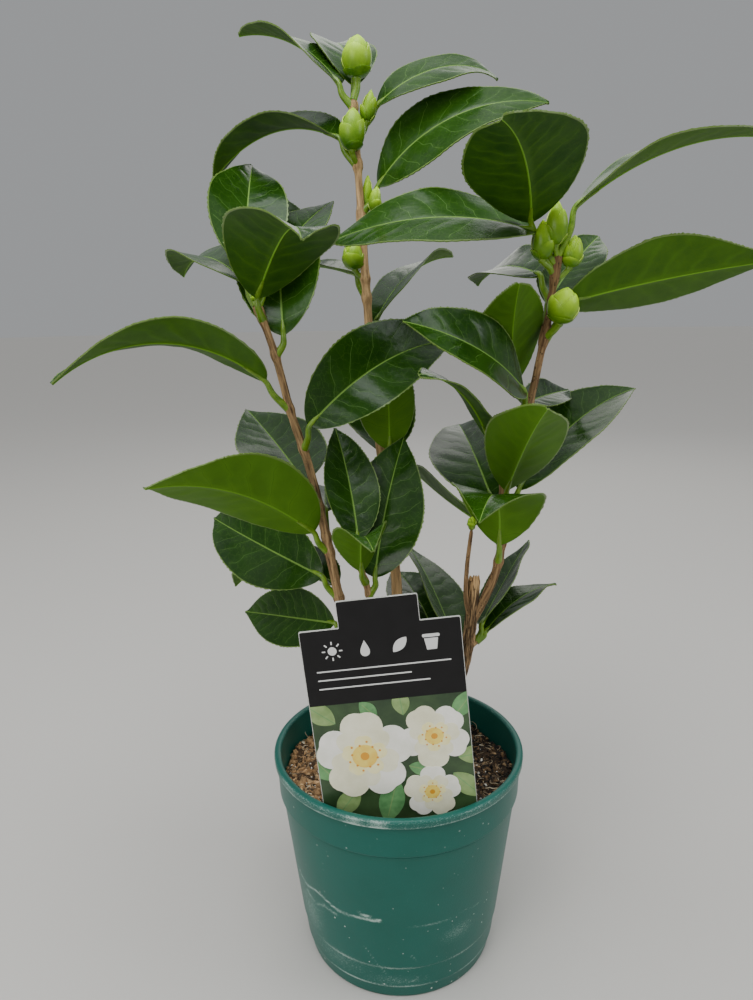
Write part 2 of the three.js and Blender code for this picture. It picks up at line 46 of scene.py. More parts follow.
view = {
    "place": (-9.4, -354.2, 333.2),  # mm
    "lookDown": 14.07,  # degrees
    "roll": -0.89,
    "imageWidth": 753,
    "focalPixels": 752,
}

studio = {
    "panels": [
        # name, place in mm, size in mm, watts, colour
        ("skyPanel", (-150, -350, 1400), 1100, 15, (0.96, 0.98, 1.0)),
        ("frontPanel", (-900, -1200, 700), 800, 7, (1.0, 0.98, 0.95)),
        ("sidePanel", (1200, -300, 800), 600, 4, (0.96, 0.98, 1.0)),
        ("backPanel", (300, 1300, 1000), 1000, 3, (1.0, 0.99, 0.93)),
    ],
    "aim": (0, 0, 250),  # mm, the point that the panels face
    "overhead": (1.0, 110, (0.98, 0.99, 1.0)),  # strength, angle and colour of a wide soft light from above
    "surroundings": ((0.80, 0.82, 0.84), 0.42),  # colour and strength
    "floorRadius": 14000,
    "floorCorners": 96,
}


def putInScene(name, data):
    made = bpy.data.objects.new(name, data)
    bpy.context.scene.collection.objects.link(made)
    return made


def linear(colour):
    return tuple(((c + 0.055) / 1.055) ** 2.4 if c > 0.04045 else c / 12.92 for c in colour)


def addCamera():
    data = bpy.data.cameras.new("photoView")
    data.sensor_fit = "HORIZONTAL"
    data.sensor_width = 36
    data.lens = data.sensor_width * view["focalPixels"] / view["imageWidth"]
    data.clip_start = 0.01
    down = math.radians(view["lookDown"])
    roll = math.radians(view["roll"])
    ahead = Vector((0, math.cos(down), -math.sin(down)))
    level = Vector((1, 0, 0))
    top = level.cross(ahead)
    right = math.cos(roll) * level + math.sin(roll) * top
    top = -math.sin(roll) * level + math.cos(roll) * top
    turn = Matrix((right, top, -ahead)).transposed().to_4x4()
    camera = putInScene("photoView", data)
    camera.matrix_world = Matrix.Translation(Vector(view["place"]) * mm) @ turn
    bpy.context.scene.camera = camera


def addLights():
    for name, place, size, watts, colour in studio["panels"]:
        data = bpy.data.lights.new(name, "AREA")
        data.shape = "DISK"
        data.size = size * mm
        data.energy = watts
        data.color = colour
        lamp = putInScene(name, data)
        lamp.location = Vector(place) * mm
        aim = Vector(studio["aim"]) * mm - lamp.location
        lamp.rotation_euler = aim.to_track_quat("-Z", "Y").to_euler()
    data = bpy.data.lights.new("overhead", "SUN")
    data.energy, angle, data.color = studio["overhead"]
    data.angle = math.radians(angle)
    putInScene("overhead", data)
    colour, strength = studio["surroundings"]
    world = bpy.data.worlds.new("studio")
    world.use_nodes = True
    world.node_tree.nodes["Background"].inputs["Color"].default_value = (*colour, 1)
    world.node_tree.nodes["Background"].inputs["Strength"].default_value = strength
    bpy.context.scene.world = world


def addFloor():
    count, radius = studio["floorCorners"], studio["floorRadius"]
    ring = [(radius * math.cos(fullTurn * k / count), radius * math.sin(fullTurn * k / count), 0)
            for k in range(count)]
    mesh = newMesh("studioFloor", ring, [tuple(range(count))])
    mesh.materials.append(plainMaterial("floorPaper", (0.74, 0.73, 0.71), 0.8))
    putInScene("studioFloor", mesh)


# Node trees

def newTree(name, treeType, inputs, *outputs):
    # sockets are (name, kind) or (name, kind, value); gives the tree and its inputs
    tree = bpy.data.node_groups.new(name, treeType)
    for inOut, sockets in (("INPUT", inputs), ("OUTPUT", outputs)):
        for label, kind, *value in sockets:
            socket = tree.interface.new_socket(name=label, in_out=inOut, socket_type="NodeSocket" + kind)
            if value:
                socket.default_value = value[0]
    return tree, tree.nodes.new("NodeGroupInput").outputs


def addNode(tree, kind, inputs=None, **settings):
    # each input takes a value or another node's output; gives the node's outputs
    node = tree.nodes.new(kind)
    for name, value in settings.items():
        setattr(node, name, value)
    for name, value in (inputs or {}).items():
        if isinstance(value, bpy.types.NodeSocket):
            tree.links.new(value, node.inputs[name])
        else:
            node.inputs[name].default_value = value
    return node.outputs


def addMath(tree, operation, *values, clamp=False):
    return addNode(tree, "ShaderNodeMath", dict(enumerate(values)), operation=operation, use_clamp=clamp)[0]


def addGroup(tree, group, inputs):
    return addNode(tree, "ShaderNodeGroup", inputs, node_tree=group)


# Shared effects

def buildToneVariation():
    # soft patches between a dark and a light tone, with a push towards the light one
    tree, enter = newTree("toneVariation", "ShaderNodeTree", [
        ("Vector", "Vector"), ("Scale", "Float", 100.0), ("Dark", "Color", (0, 0, 0, 1)),
        ("Light", "Color", (1, 1, 1, 1)), ("Patches", "Float", 1.0), ("Push", "Float", 0.0),
    ], ("Color", "Color"), ("Mask", "Float"))
    noise = addNode(tree, "ShaderNodeTexNoise",
                    {"Vector": enter["Vector"], "Scale": enter["Scale"], "Detail": 4, "Roughness": 0.6})
    spread = addNode(tree, "ShaderNodeMapRange", {"Value": noise["Fac"], "From Min": 0.32, "From Max": 0.68})
    weight = addMath(tree, "MULTIPLY_ADD", spread["Result"], enter["Patches"], enter["Push"], clamp=True)
    mix = addNode(tree, "ShaderNodeMix", {"Factor": weight, "A": enter["Dark"], "B": enter["Light"]},
                  data_type="RGBA")
    addNode(tree, "NodeGroupOutput", {"Color": mix["Result"], "Mask": weight})
    return tree


def buildGrain():
    # fine pitted grain as a height
    tree, enter = newTree("grain", "ShaderNodeTree", [("Vector", "Vector"), ("Scale", "Float", 400.0)],
                          ("Height", "Float"))
    where = {"Vector": enter["Vector"], "Scale": enter["Scale"]}
    noise = addNode(tree, "ShaderNodeTexNoise", {**where, "Detail": 3})
    cells = addNode(tree, "ShaderNodeTexVoronoi", where, feature="SMOOTH_F1")
    addNode(tree, "NodeGroupOutput", {"Height": addMath(tree, "ADD", noise["Fac"], cells["Distance"])})
    return tree


def buildSpecks():
    # scattered round specks: a few of the cells carry one
    tree, enter = newTree("specks", "ShaderNodeTree", [
        ("Vector", "Vector"), ("Scale", "Float", 200.0), ("Size", "Float", 0.15), ("Share", "Float", 0.2),
    ], ("Mask", "Float"))
    cells = addNode(tree, "ShaderNodeTexVoronoi", {"Vector": enter["Vector"], "Scale": enter["Scale"]})
    tell = addNode(tree, "ShaderNodeSeparateColor", {"Color": cells["Color"]})
    chosen = addMath(tree, "LESS_THAN", tell["Red"], enter["Share"])
    size = addMath(tree, "MULTIPLY", tell["Green"], enter["Size"])
    inside = addMath(tree, "LESS_THAN", cells["Distance"], size)
    addNode(tree, "NodeGroupOutput", {"Mask": addMath(tree, "MULTIPLY", inside, chosen)})
    return tree


def buildVeinNet():
    # the fine net of veins between the side veins, as a soft line mask
    tree, enter = newTree("veinNet", "ShaderNodeTree", [
        ("Vector", "Vector"), ("Scale", "Float", 200.0), ("Width", "Float", 0.06),
    ], ("Mask", "Float"))
    wobble = addNode(tree, "ShaderNodeTexNoise", {
        "Vector": enter["Vector"], "Scale": addMath(tree, "MULTIPLY", enter["Scale"], 1.3), "Detail": 2})
    shift = addNode(tree, "ShaderNodeVectorMath", {
        0: wobble["Color"], 1: (0.0035, 0.0035, 0.0035), 2: enter["Vector"]}, operation="MULTIPLY_ADD")
    cells = addNode(tree, "ShaderNodeTexVoronoi", {"Vector": shift["Vector"], "Scale": enter["Scale"]},
                    feature="DISTANCE_TO_EDGE")
    line = addNode(tree, "ShaderNodeMapRange", {
        "Value": cells["Distance"], "From Min": 0, "From Max": enter["Width"], "To Min": 1, "To Max": 0,
    }, interpolation_type="SMOOTHSTEP")
    addNode(tree, "NodeGroupOutput", {"Mask": line["Result"]})
    return tree


def buildRaggedMask():
    # a mask broken up by fine noise, so that scrapes, chips and cracks have ragged edges
    tree, enter = newTree("raggedMask", "ShaderNodeTree", [
        ("Vector", "Vector"), ("Mask", "Float", 0.0), ("Scale", "Float", 1000.0),
        ("Stretch", "Vector", (1.0, 1.0, 1.0)), ("Low", "Float", 0.3), ("High", "Float", 0.85),
    ], ("Mask", "Float"))
    stretched = addNode(tree, "ShaderNodeVectorMath", {0: enter["Vector"], 1: enter["Stretch"]},
                        operation="MULTIPLY")
    noise = addNode(tree, "ShaderNodeTexNoise", {
        "Vector": stretched["Vector"], "Scale": enter["Scale"], "Detail": 5, "Roughness": 0.7})
    ragged = addNode(tree, "ShaderNodeMapRange", {
        "Value": noise["Fac"], "From Min": 0.28, "From Max": 0.72, "To Min": -0.45, "To Max": 0.45})
    total = addMath(tree, "ADD", enter["Mask"], ragged["Result"])
    cut = addNode(tree, "ShaderNodeMapRange", {
        "Value": total, "From Min": enter["Low"], "From Max": enter["High"]})
    addNode(tree, "NodeGroupOutput", {"Mask": cut["Result"]})
    return tree


def buildFadedMask():
    # a mask that is kept only where a value is high
    tree, enter = newTree("fadedMask", "ShaderNodeTree", [
        ("Mask", "Float", 1.0), ("Value", "Float", 1.0), ("Low", "Float", 0.0), ("High", "Float", 1.0),
    ], ("Mask", "Float"))
    ramp = addNode(tree, "ShaderNodeMapRange",
                   {"Value": enter["Value"], "From Min": enter["Low"], "From Max": enter["High"]})
    addNode(tree, "NodeGroupOutput", {"Mask": addMath(tree, "MULTIPLY", ramp["Result"], enter["Mask"])})
    return tree


def buildLaidOver():
    # a colour and a roughness laid over those below, where the mask is high
    tree, enter = newTree("laidOver", "ShaderNodeTree", [
        ("Mask", "Float", 0.0), ("Strength", "Float", 1.0),
        ("Below", "Color", (0, 0, 0, 1)), ("Above", "Color", (1, 1, 1, 1)),
        ("Roughness Below", "Float", 0.5), ("Roughness Above", "Float", 0.5),
    ], ("Color", "Color"), ("Roughness", "Float"))
    weight = addMath(tree, "MULTIPLY", enter["Mask"], enter["Strength"], clamp=True)
    colour = addNode(tree, "ShaderNodeMix", {"Factor": weight, "A": enter["Below"], "B": enter["Above"]},
                     data_type="RGBA")
    dull = addNode(tree, "ShaderNodeMix",
                   {"Factor": weight, "A": enter["Roughness Below"], "B": enter["Roughness Above"]})
    addNode(tree, "NodeGroupOutput", {"Color": colour["Result"], "Roughness": dull["Result"]})
    return tree


toneVariation = buildToneVariation()
grain = buildGrain()
specks = buildSpecks()
veinNet = buildVeinNet()
raggedMask = buildRaggedMask()
fadedMask = buildFadedMask()
laidOver = buildLaidOver()

# Materials

def readAttribute(tree, name):
    return addNode(tree, "ShaderNodeAttribute", attribute_name=name)


def placeIn(tree, along=None):
    # object coordinates, or those that an attribute carries
    return readAttribute(tree, along)["Vector"] if along else addNode(tree, "ShaderNodeTexCoord")["Object"]


def maskOf(material, group, along=None, **values):
    # a group's mask; an input that is given as text reads the attribute of that name
    tree = material.node_tree
    inputs = {name: readAttribute(tree, value)["Fac"] if isinstance(value, str) else value
              for name, value in values.items()}
    if "Vector" in [item.name for item in group.interface.items_tree]:
        inputs["Vector"] = placeIn(tree, along)
    return addGroup(tree, group, inputs)["Mask"]


def layOver(material, mask, colour, strength, roughness=None):
    # lays a colour over the base colour where the mask is high, and a roughness with it
    tree = material.node_tree
    shader = tree.nodes["Principled BSDF"]
    inputs = {"Mask": mask, "Strength": strength, "Above": (*linear(colour), 1),
              "Below": shader.inputs["Base Color"].links[0].from_socket}
    if roughness is not None:
        inputs["Roughness Below"] = shader.inputs["Roughness"].links[0].from_socket
        inputs["Roughness Above"] = roughness
    laid = addGroup(tree, laidOver, inputs)
    tree.links.new(laid["Color"], shader.inputs["Base Color"])
    if roughness is not None:
        tree.links.new(laid["Roughness"], shader.inputs["Roughness"])


def plainMaterial(name, colour, roughness, specular=0.5):
    material = bpy.data.materials.new(name)
    material.use_nodes = True
    inputs = material.node_tree.nodes["Principled BSDF"].inputs
    inputs["Base Color"].default_value = (*linear(colour), 1)
    inputs["Roughness"].default_value = roughness
    inputs["Specular IOR Level"].default_value = specular
    return material


def variedMaterial(name, dark, light, roughness, scale, specular=0.5, stretch=(1, 1, 1), patches=1.0,
                   grainScale=400, grainHeight=0.0, push=(), along=None, drift=None):
    # push: vertex attributes that lighten; along: an attribute in place of object coordinates;
    # drift: (direction, weight per metre) that lightens one side of the piece
    material = plainMaterial(name, dark, roughness[0], specular)
    tree = material.node_tree
    shader = tree.nodes["Principled BSDF"]
    place = addNode(tree, "ShaderNodeMapping", {"Vector": placeIn(tree, along), "Scale": stretch})["Vector"]
    total = 0.0
    for attribute, weight in push:
        total = addMath(tree, "MULTIPLY_ADD", readAttribute(tree, attribute)["Fac"], weight, total)
    if drift:
        lean = tuple(drift[1] * v for v in drift[0])
        total = addNode(tree, "ShaderNodeVectorMath", {0: placeIn(tree), 1: lean},
                        operation="DOT_PRODUCT")["Value"]
    tone = addGroup(tree, toneVariation, {
        "Vector": place, "Scale": scale, "Dark": (*linear(dark), 1), "Light": (*linear(light), 1),
        "Patches": patches, "Push": total})
    sheen = addNode(tree, "ShaderNodeMapRange",
                    {"Value": tone["Mask"], "To Min": roughness[0], "To Max": roughness[1]})
    tree.links.new(tone["Color"], shader.inputs["Base Color"])
    tree.links.new(sheen["Result"], shader.inputs["Roughness"])
    if grainHeight:
        pits = addGroup(tree, grain, {"Vector": place, "Scale": grainScale})
        bump = addNode(tree, "ShaderNodeBump",
                       {"Height": pits["Height"], "Distance": grainHeight * mm, "Strength": 1})
        tree.links.new(bump["Normal"], shader.inputs["Normal"])
    return material


# Meshes

def newMesh(name, points, faces, edges=()):
    # points in millimetres
    mesh = bpy.data.meshes.new(name)
    mesh.from_pydata((np.asarray(points) * mm).tolist(), list(edges), [tuple(face) for face in faces])
    return mesh


def addPiece(name, points, faces, slots, materials, sharp=50):
    # slots is the material number of each face, or one for all
    mesh = newMesh(name, points, faces)
    for material in materials:
        mesh.materials.append(material)
    mesh.polygons.foreach_set("material_index", np.broadcast_to(slots, len(faces)).astype(np.int32))
    smooth(mesh)
    mesh.set_sharp_from_angle(angle=math.radians(sharp))
    mesh.update()
    return putInScene(name, mesh)


def smooth(mesh):
    mesh.polygons.foreach_set("use_smooth", np.ones(len(mesh.polygons), dtype=bool))


def setFloat(piece, name, values):
    attribute = piece.data.attributes.new(name, "FLOAT", "POINT")
    attribute.data.foreach_set("value", np.asarray(values, np.float32))


def fixNormals(piece):
    shape = bmesh.new()
    shape.from_mesh(piece.data)
    bmesh.ops.recalc_face_normals(shape, faces=shape.faces)
    shape.to_mesh(piece.data)
    shape.free()


def joinMeshes(parts):
    # one list of points and faces from many
    points, faces, slots, base = [], [], [], 0
    for part in parts:
        points.append(part[0])
        faces.extend([tuple(int(i) + base for i in face) for face in part[1]])
        slots.extend(part[2])
        base += len(part[0])
    return np.concatenate(points), faces, slots


def tubeFaces(rows, sides):
    # quads round and along a tube, row by row
    row, side = np.meshgrid(np.arange(rows - 1), np.arange(sides), indexing="ij")
    a = row * sides + side
    b = row * sides + (side + 1) % sides
    return np.stack([a, b, b + sides, a + sides], -1).reshape(-1, 4)


def closedTube(rows, sides):
    last = (rows - 1) * sides
    caps = [tuple(range(sides - 1, -1, -1)), tuple(range(last, last + sides))]
    return tubeFaces(rows, sides).tolist() + caps


def latheFaces(rings, sides):
    # rings of points between a first and a last point on the axis
    last = 1 + (rings - 1) * sides
    end = last + sides
    faces = [(0, 1 + (k + 1) % sides, 1 + k) for k in range(sides)]
    faces += [tuple(int(i) + 1 for i in face) for face in tubeFaces(rings, sides)]
    return faces + [(end, last + k, last + (k + 1) % sides) for k in range(sides)]


def flatCaps(rows, columns):
    # closes both ends of a folded sheet whose upper and under sides lie side by side in each row
    last = (rows - 1) * 2 * columns
    faces = []
    for k in range(columns - 1):
        a, b, c, d = k, k + 1, 2 * columns - 2 - k, 2 * columns - 1 - k
        faces += [(a, d, c, b), (last + a, last + b, last + c, last + d)]
    return faces


def unit(vector):
    return vector / np.linalg.norm(vector)


def headingVector(degrees):
    angle = math.radians(degrees)
    return np.array([math.sin(angle), math.cos(angle), 0.0])


def roundCorner(before, here, after, reachBefore, reachAfter, steps):
    # a small arc in place of a corner
    enter = here + unit(before - here) * reachBefore
    leave = here + unit(after - here) * reachAfter
    shares = [step / steps for step in range(steps + 1)]
    return [(1 - t) ** 2 * enter + 2 * t * (1 - t) * here + t ** 2 * leave for t in shares]


# Lines and tubes

def curvePoint(points, t):
    # centripetal spline through the points, t from 0 to 1
    place = (len(points) - 1) * t
    k = min(int(place), len(points) - 2)
    weight = place - k
    p1, p2 = points[k], points[k + 1]
    p0 = points[k - 1] if k > 0 else 2 * p1 - p2
    p3 = points[k + 2] if k + 2 < len(points) else 2 * p2 - p1
    d0, d1, d2 = (math.sqrt(np.linalg.norm(b - a)) for a, b in ((p0, p1), (p1, p2), (p2, p3)))
    leave = ((p1 - p0) / d0 - (p2 - p0) / (d0 + d1) + (p2 - p1) / d1) * d1
    arrive = ((p2 - p1) / d1 - (p3 - p1) / (d1 + d2) + (p3 - p2) / d2) * d1
    cubic = 2 * p1 - 2 * p2 + leave + arrive
    square = -3 * p1 + 3 * p2 - 2 * leave - arrive
    return p1 + weight * (leave + weight * (square + weight * cubic))


def tube(points, radii, sides):
    # rings of points round a line
    side = np.array([1.0, 0.0, 0.0])
    angles = np.arange(sides) / sides * 2 * math.pi
    rings = []
    for k, centre in enumerate(points):
        along = unit(points[min(k + 1, len(points) - 1)] - points[max(k - 1, 0)])
        side = unit(side - along * (side @ along))
        across = np.cross(along, side)
        rings.append(centre + radii[k] * (np.outer(np.cos(angles), side) + np.outer(np.sin(angles), across)))
    return np.concatenate(rings)


# Routes of the stems: radius at the foot and at the tip, then points, all in mm

def makeRoute(footRadius, tipRadius, *points):
    return {"points": [np.array(p, float) for p in points], "foot": footRadius, "tip": tipRadius}


def pointAtHeight(route, height):
    low, high = 0.0, 1.0
    for halving in range(24):
        middle = (low + high) / 2
        if curvePoint(route["points"], middle)[2] < height:
            low = middle
        else:
            high = middle
    return curvePoint(route["points"], (low + high) / 2)


def radiusAtHeight(route, height):
    foot, tip = route["points"][0][2], route["points"][-1][2]
    share = (height - foot) / (tip - foot)
    return route["foot"] + (route["tip"] - route["foot"]) * share


trunkRoute = makeRoute(5.6, 5.2, (1.8, 6, 96), (0.8, 7, 110), (0.2, 8.7, 126))
middleRoute = makeRoute(3.3, 1.7, (0, 8.2, 120), (0.6, 11, 150), (0.4, 14.5, 195), (-3.6, 20, 234),
                        (-9.8, 23, 295), (-12.5, 24, 339), (-14.6, 24, 379), (-17.3, 24, 428))
leftRoute = makeRoute(3.1, 1.7, (0, 7, 110), (-10, 5, 124), (-20, 2, 150), (-25.5, 0, 175),
                      (-35.2, -1.8, 232), (-41.3, -2.4, 262), (-48.8, -2.9, 288), (-54.9, -3.5, 315),
                      (-62.3, -4, 338))
rightRoute = makeRoute(3.9, 3.1, (1, 7, 108), (13, 5, 118), (24, 2, 133), (31.5, 0.5, 148), (36.1, -0.5, 168),
                       (38.6, -1, 203))
rightShootRoute = makeRoute(2.4, 1.6, (37.5, -1, 180), (44.6, -1.4, 195), (48.7, -1.8, 206),
                            (51.3, -2.3, 220), (51.5, -2.8, 248), (51.4, -3.2, 262), (62.8, -3.7, 292),
                            (66.2, -4.2, 310), (69.6, -4.8, 330), (72.4, -6, 358))
innerRoute = makeRoute(2.1, 1.5, (0.8, 9, 130), (-5, 1, 150), (-10.5, -7, 175), (-13.7, -12, 200),
                       (-18.8, -14, 219))
twigRoute = makeRoute(1.4, 1, (37.5, -1, 180), (34.4, -3, 194), (34.4, -4.6, 210), (36.4, -6, 232))

# Leaves and buds, from the lowest up. at is the height on the stem, lengths are in mm and angles in degrees.
# foot is the heading of the leaf's stalk where it isn't the blade's.

usualLeaf = dict(arch=35, sweep=0, roll=0, breadth=0.47, fold=12, reach=8, lift=12)
usualBud = dict(reach=5, lift=5, lean=10, stalk=1.3, pale=1.0)
leftLowLeaves = [
    dict(at=167, heading=-52, rise=-8, roll=-62, arch=8, length=74, breadth=0.45, foot=-70),
    dict(at=186, heading=-50, rise=17, arch=60, length=87, fold=20, foot=-20),
    dict(at=194, heading=-66, rise=19, roll=-65, arch=38, length=89, foot=-95),
    dict(at=218, heading=-118, rise=43, roll=48, arch=48, sweep=6, length=96, breadth=0.52, tone=0.95),
    dict(at=226, heading=-4, rise=10, arch=30, length=78),
    dict(at=241, heading=-21, rise=14, roll=-9, arch=-8, sweep=-10, length=90, breadth=0.52, foot=-65),
]
leftMiddleLeaves = [
    dict(at=270, heading=77, rise=48, roll=74, arch=46, sweep=32,
         length=92, breadth=0.45, fold=24, foot=150, reach=7),
    dict(at=289, heading=-105, rise=43, roll=24, arch=84, sweep=8,
         length=99, breadth=0.43, reach=11, lift=14, tone=0.45),
]
leftTopLeaves = [
    dict(at=314, heading=-11, rise=62, roll=-16, arch=31, sweep=2, length=90, foot=78, reach=4, lift=9.4),
    dict(at=330, heading=150, rise=44, roll=-16, arch=70, sweep=5, length=98, foot=200, reach=4, lift=10,
         tone=0.05),
    dict(at=334, heading=-50, rise=38, roll=-14, arch=70, sweep=12, length=77, fold=18),
    dict(at=336, heading=29, rise=46, roll=4, arch=22, sweep=4, length=73, foot=45, reach=3.3, lift=9.8),
    dict(at=337, heading=2, rise=64, roll=20, arch=40, sweep=8,
         length=76, breadth=0.5, foot=-80, reach=5, lift=16),
]
middleLowLeaves = [
    dict(at=250, heading=-14, rise=40, arch=20, length=90, breadth=0.5, foot=20, lift=11),
    dict(at=254, heading=184, rise=87, roll=20, arch=-14, length=58,
         breadth=0.54, foot=140, reach=5, tone=0.95),
    dict(at=290, heading=5, rise=28, arch=40, length=84, tone=0.95),
    dict(at=318, heading=35, rise=50, roll=-20, arch=48, sweep=-12,
         length=82, breadth=0.42, reach=5, lift=10),
]
middleMiddleLeaves = [
    dict(at=339, heading=-40, rise=15, arch=18, length=62),
    dict(at=378, heading=122, rise=51, roll=64, arch=66, sweep=22, length=89, fold=4, foot=90),
]
middleMiddleBuds = [
    dict(at=348, foot=-80, length=13, width=10, lean=5, pale=0.8),
    dict(at=376, foot=40, length=15, width=4, reach=3),
    dict(at=374, foot=110, length=11, width=5, reach=6),
]
middleTopLeaves = [
    dict(at=399, heading=-60, rise=31, roll=-15, arch=78, sweep=-26,
         length=81, breadth=0.44, fold=24, foot=-85, tone=0.05),
    dict(at=413, heading=109, rise=40, roll=47, arch=80, sweep=-16,
         length=68, breadth=0.42, fold=3, foot=79, reach=10.3, lift=12.1),
    dict(at=424, heading=-52, rise=50, arch=46, sweep=2, length=75, foot=-95, reach=6.5, lift=9.8),
    dict(at=424, heading=-13, rise=60, roll=5, arch=66, length=70, breadth=0.45, foot=0, reach=6, lift=11),
]
middleTopBuds = [
    dict(at=399, foot=-150, length=18.5, width=10.5, reach=5, lift=6, lean=-5, pale=0.66),
    dict(at=409, foot=80, length=14, width=6, reach=5, lift=9, pale=0.75),
    dict(at=427, foot=60, length=18, width=13, reach=2, lift=9.5, lean=3, stalk=1.7),
]
innerLeaves = [
    dict(at=200, heading=22, rise=70, roll=10, arch=14, sweep=8,
         length=71, breadth=0.58, foot=90, reach=3, lift=9),
    dict(at=207, heading=201, rise=79, roll=32, arch=101, sweep=-2, length=52,
         breadth=0.54, fold=26, reach=4.3, lift=6.7, tone=0.9),
    dict(at=215, heading=-11, rise=61, roll=1, arch=11, sweep=-9, length=60,
         breadth=0.48, fold=22, foot=-23, reach=2.1, lift=12.4),
]
rightFootLeaves = [
    dict(heading=30, rise=24, roll=-38, arch=4, length=72, breadth=0.42, foot=60, reach=3, lift=8),
    dict(heading=44, rise=28, roll=-15, arch=36, length=62, breadth=0.45, foot=72, reach=5, lift=4),
]
rightInnerLeaves = [
    dict(heading=-11, rise=26, roll=37, arch=14, length=84, fold=18, reach=4, lift=8),
    dict(heading=-13, rise=24, roll=1, arch=27, sweep=-2, length=82, foot=-42, reach=11.6, lift=2.5),
]
rightLowLeaves = [
    dict(at=212, heading=184, rise=76, roll=-15, arch=105, length=80, breadth=0.54, reach=4, lift=11,
         tone=0.85),
    dict(at=222, heading=-28, rise=7, roll=40, arch=-10, length=84, foot=-55, reach=10, lift=9),
]
rightMiddleLeaves = [
    dict(at=237, heading=-10, rise=32, roll=-18, arch=34, length=92,
         breadth=0.52, foot=-50, reach=6, lift=6, tone=0.0),
    dict(at=239, heading=55, rise=47, roll=10, arch=38, sweep=9, length=94, fold=16, foot=80, lift=10),
    dict(at=243, heading=172, rise=50, roll=-17, arch=28, length=79,
         breadth=0.49, fold=26, reach=5.6, lift=7, tone=0.8),
    dict(at=261, heading=-145, rise=53, roll=-28, arch=45, sweep=-26,
         length=77, breadth=0.32, fold=4, foot=-110, lift=14, tone=0.0),
    dict(at=279, heading=43, rise=7, roll=31, arch=14, sweep=-3, length=48,
         breadth=0.42, foot=35, reach=8.5, lift=11.1, tone=0.0),
    dict(at=286, heading=-142, rise=37, roll=-66, arch=36, sweep=-8,
         length=78, foot=-165, reach=9, lift=11),
    dict(at=290, heading=-163, rise=60, roll=28, arch=29, sweep=1, length=62,
         breadth=0.6, fold=20, foot=-44, reach=9.8, lift=8.7),
]
rightTopLeaves = [
    dict(at=318, heading=80, rise=14, roll=-44, arch=18, sweep=8, length=97, foot=60, reach=13, lift=18,
         tone=0.5),
    dict(at=324, heading=44, rise=42, roll=22, arch=24, length=63, foot=15, tone=0.3),
    dict(at=336, heading=-27, rise=20, roll=-26, arch=48, length=70, tone=0.0),
    dict(at=348, heading=-109, rise=16, roll=-35, arch=61, sweep=26,
         length=96, fold=5, foot=-94, reach=9.9, lift=18.1),
    dict(at=352, heading=-168, rise=31, roll=12, arch=30, sweep=18,
         length=92, breadth=0.55, foot=-95, reach=12, lift=18, tone=0.0),
    dict(at=356, heading=105, rise=41, roll=9, arch=52, sweep=-24,
         length=96, breadth=0.42, foot=90, reach=7, lift=20),
]
rightTopBuds = [
    dict(at=320, foot=139, length=15.8, width=13, reach=7.7, lift=7, lean=15, stalk=1.7, spin=179),
    dict(at=345, foot=80, length=14, width=9, reach=7, lift=6, pale=0.8),
    dict(at=349, foot=-110, length=17, width=9, reach=7, lift=5, lean=0, pale=0.45),
    dict(at=355, foot=-150, length=19, width=9, reach=3, lift=5, lean=0, pale=0.55),
]

masses = [
    # node, stem that it grows on, leaves, buds; a spur is (height, heading) on that stem
    dict(node="foliage_left_low", route=leftRoute, leaves=leftLowLeaves),
    dict(node="foliage_left_middle", route=leftRoute, leaves=leftMiddleLeaves),
    dict(node="foliage_left_top", route=leftRoute, leaves=leftTopLeaves),
    dict(node="foliage_middle_low", route=middleRoute, leaves=middleLowLeaves),
    dict(node="foliage_middle_middle", route=middleRoute, leaves=middleMiddleLeaves, buds=middleMiddleBuds),
    dict(node="foliage_middle_top", route=middleRoute, leaves=middleTopLeaves, buds=middleTopBuds),
    dict(node="foliage_inner", route=innerRoute, leaves=innerLeaves),
    dict(node="foliage_right_foot", route=rightRoute, spur=(166, 60), leaves=rightFootLeaves),
    dict(node="foliage_right_inner", route=rightRoute, spur=(156, -40), leaves=rightInnerLeaves),
    dict(node="foliage_right_low", route=rightShootRoute, leaves=rightLowLeaves),
    dict(node="foliage_right_middle", route=rightShootRoute, leaves=rightMiddleLeaves),
    dict(node="foliage_right_top", route=rightShootRoute, leaves=rightTopLeaves, buds=rightTopBuds),
]

spur = {"reach": 7, "lift": 3, "radius": 1.6, "rings": 7}


def spurLine(mass):
    height, heading = mass["spur"]
    root = pointAtHeight(mass["route"], height)
    return root, root + spur["reach"] * headingVector(heading) + spur["lift"] * up


def leavesOf(members):
    # every leaf with the usual values filled in, and the places where its stalk and its blade begin
    for mass in members:
        for entry in mass["leaves"]:
            leaf = {**usualLeaf, "foot": entry["heading"], **entry}
            if "spur" in mass:
                foot, tip = spurLine(mass)
                root = foot + 0.8 * (tip - foot)
            else:
                root = pointAtHeight(mass["route"], leaf["at"])
            yield leaf, root, root + leaf["reach"] * headingVector(leaf["foot"]) + leaf["lift"] * up


# Leaf blades: rows follow the side veins, columns run from the left margin over the midrib to the right one

blade = {
    "thickness": 0.55,
    "veins": (7, 10),  # on each side, least and most
    "rowsBetween": 6,
    "columns": (0.13, 0.28, 0.44, 0.60, 0.75, 0.88, 0.978, 1.0),  # share from midrib to margin
    "ribWidth": 0.5,  # half width of the midrib in mm at its foot
    "veinWidth": 0.19,  # mm
    "veinLean": 0.55,
    "veinReach": 0.76,
    "veinWander": 0.011,
    "tooth": 0.5,
    "pillow": 0.2,  # rise between the veins
    "bulge": 0.55,  # wide soft unevenness
    "wave": 0.8,  # of the margin
    "leastHalfWidth": 0.7,
    "steps": 96,  # along the midrib, for its curve
}

topSlot, ribSlot, veinSlot, marginSlot, underSlot, underRibSlot, underVeinSlot = range(7)


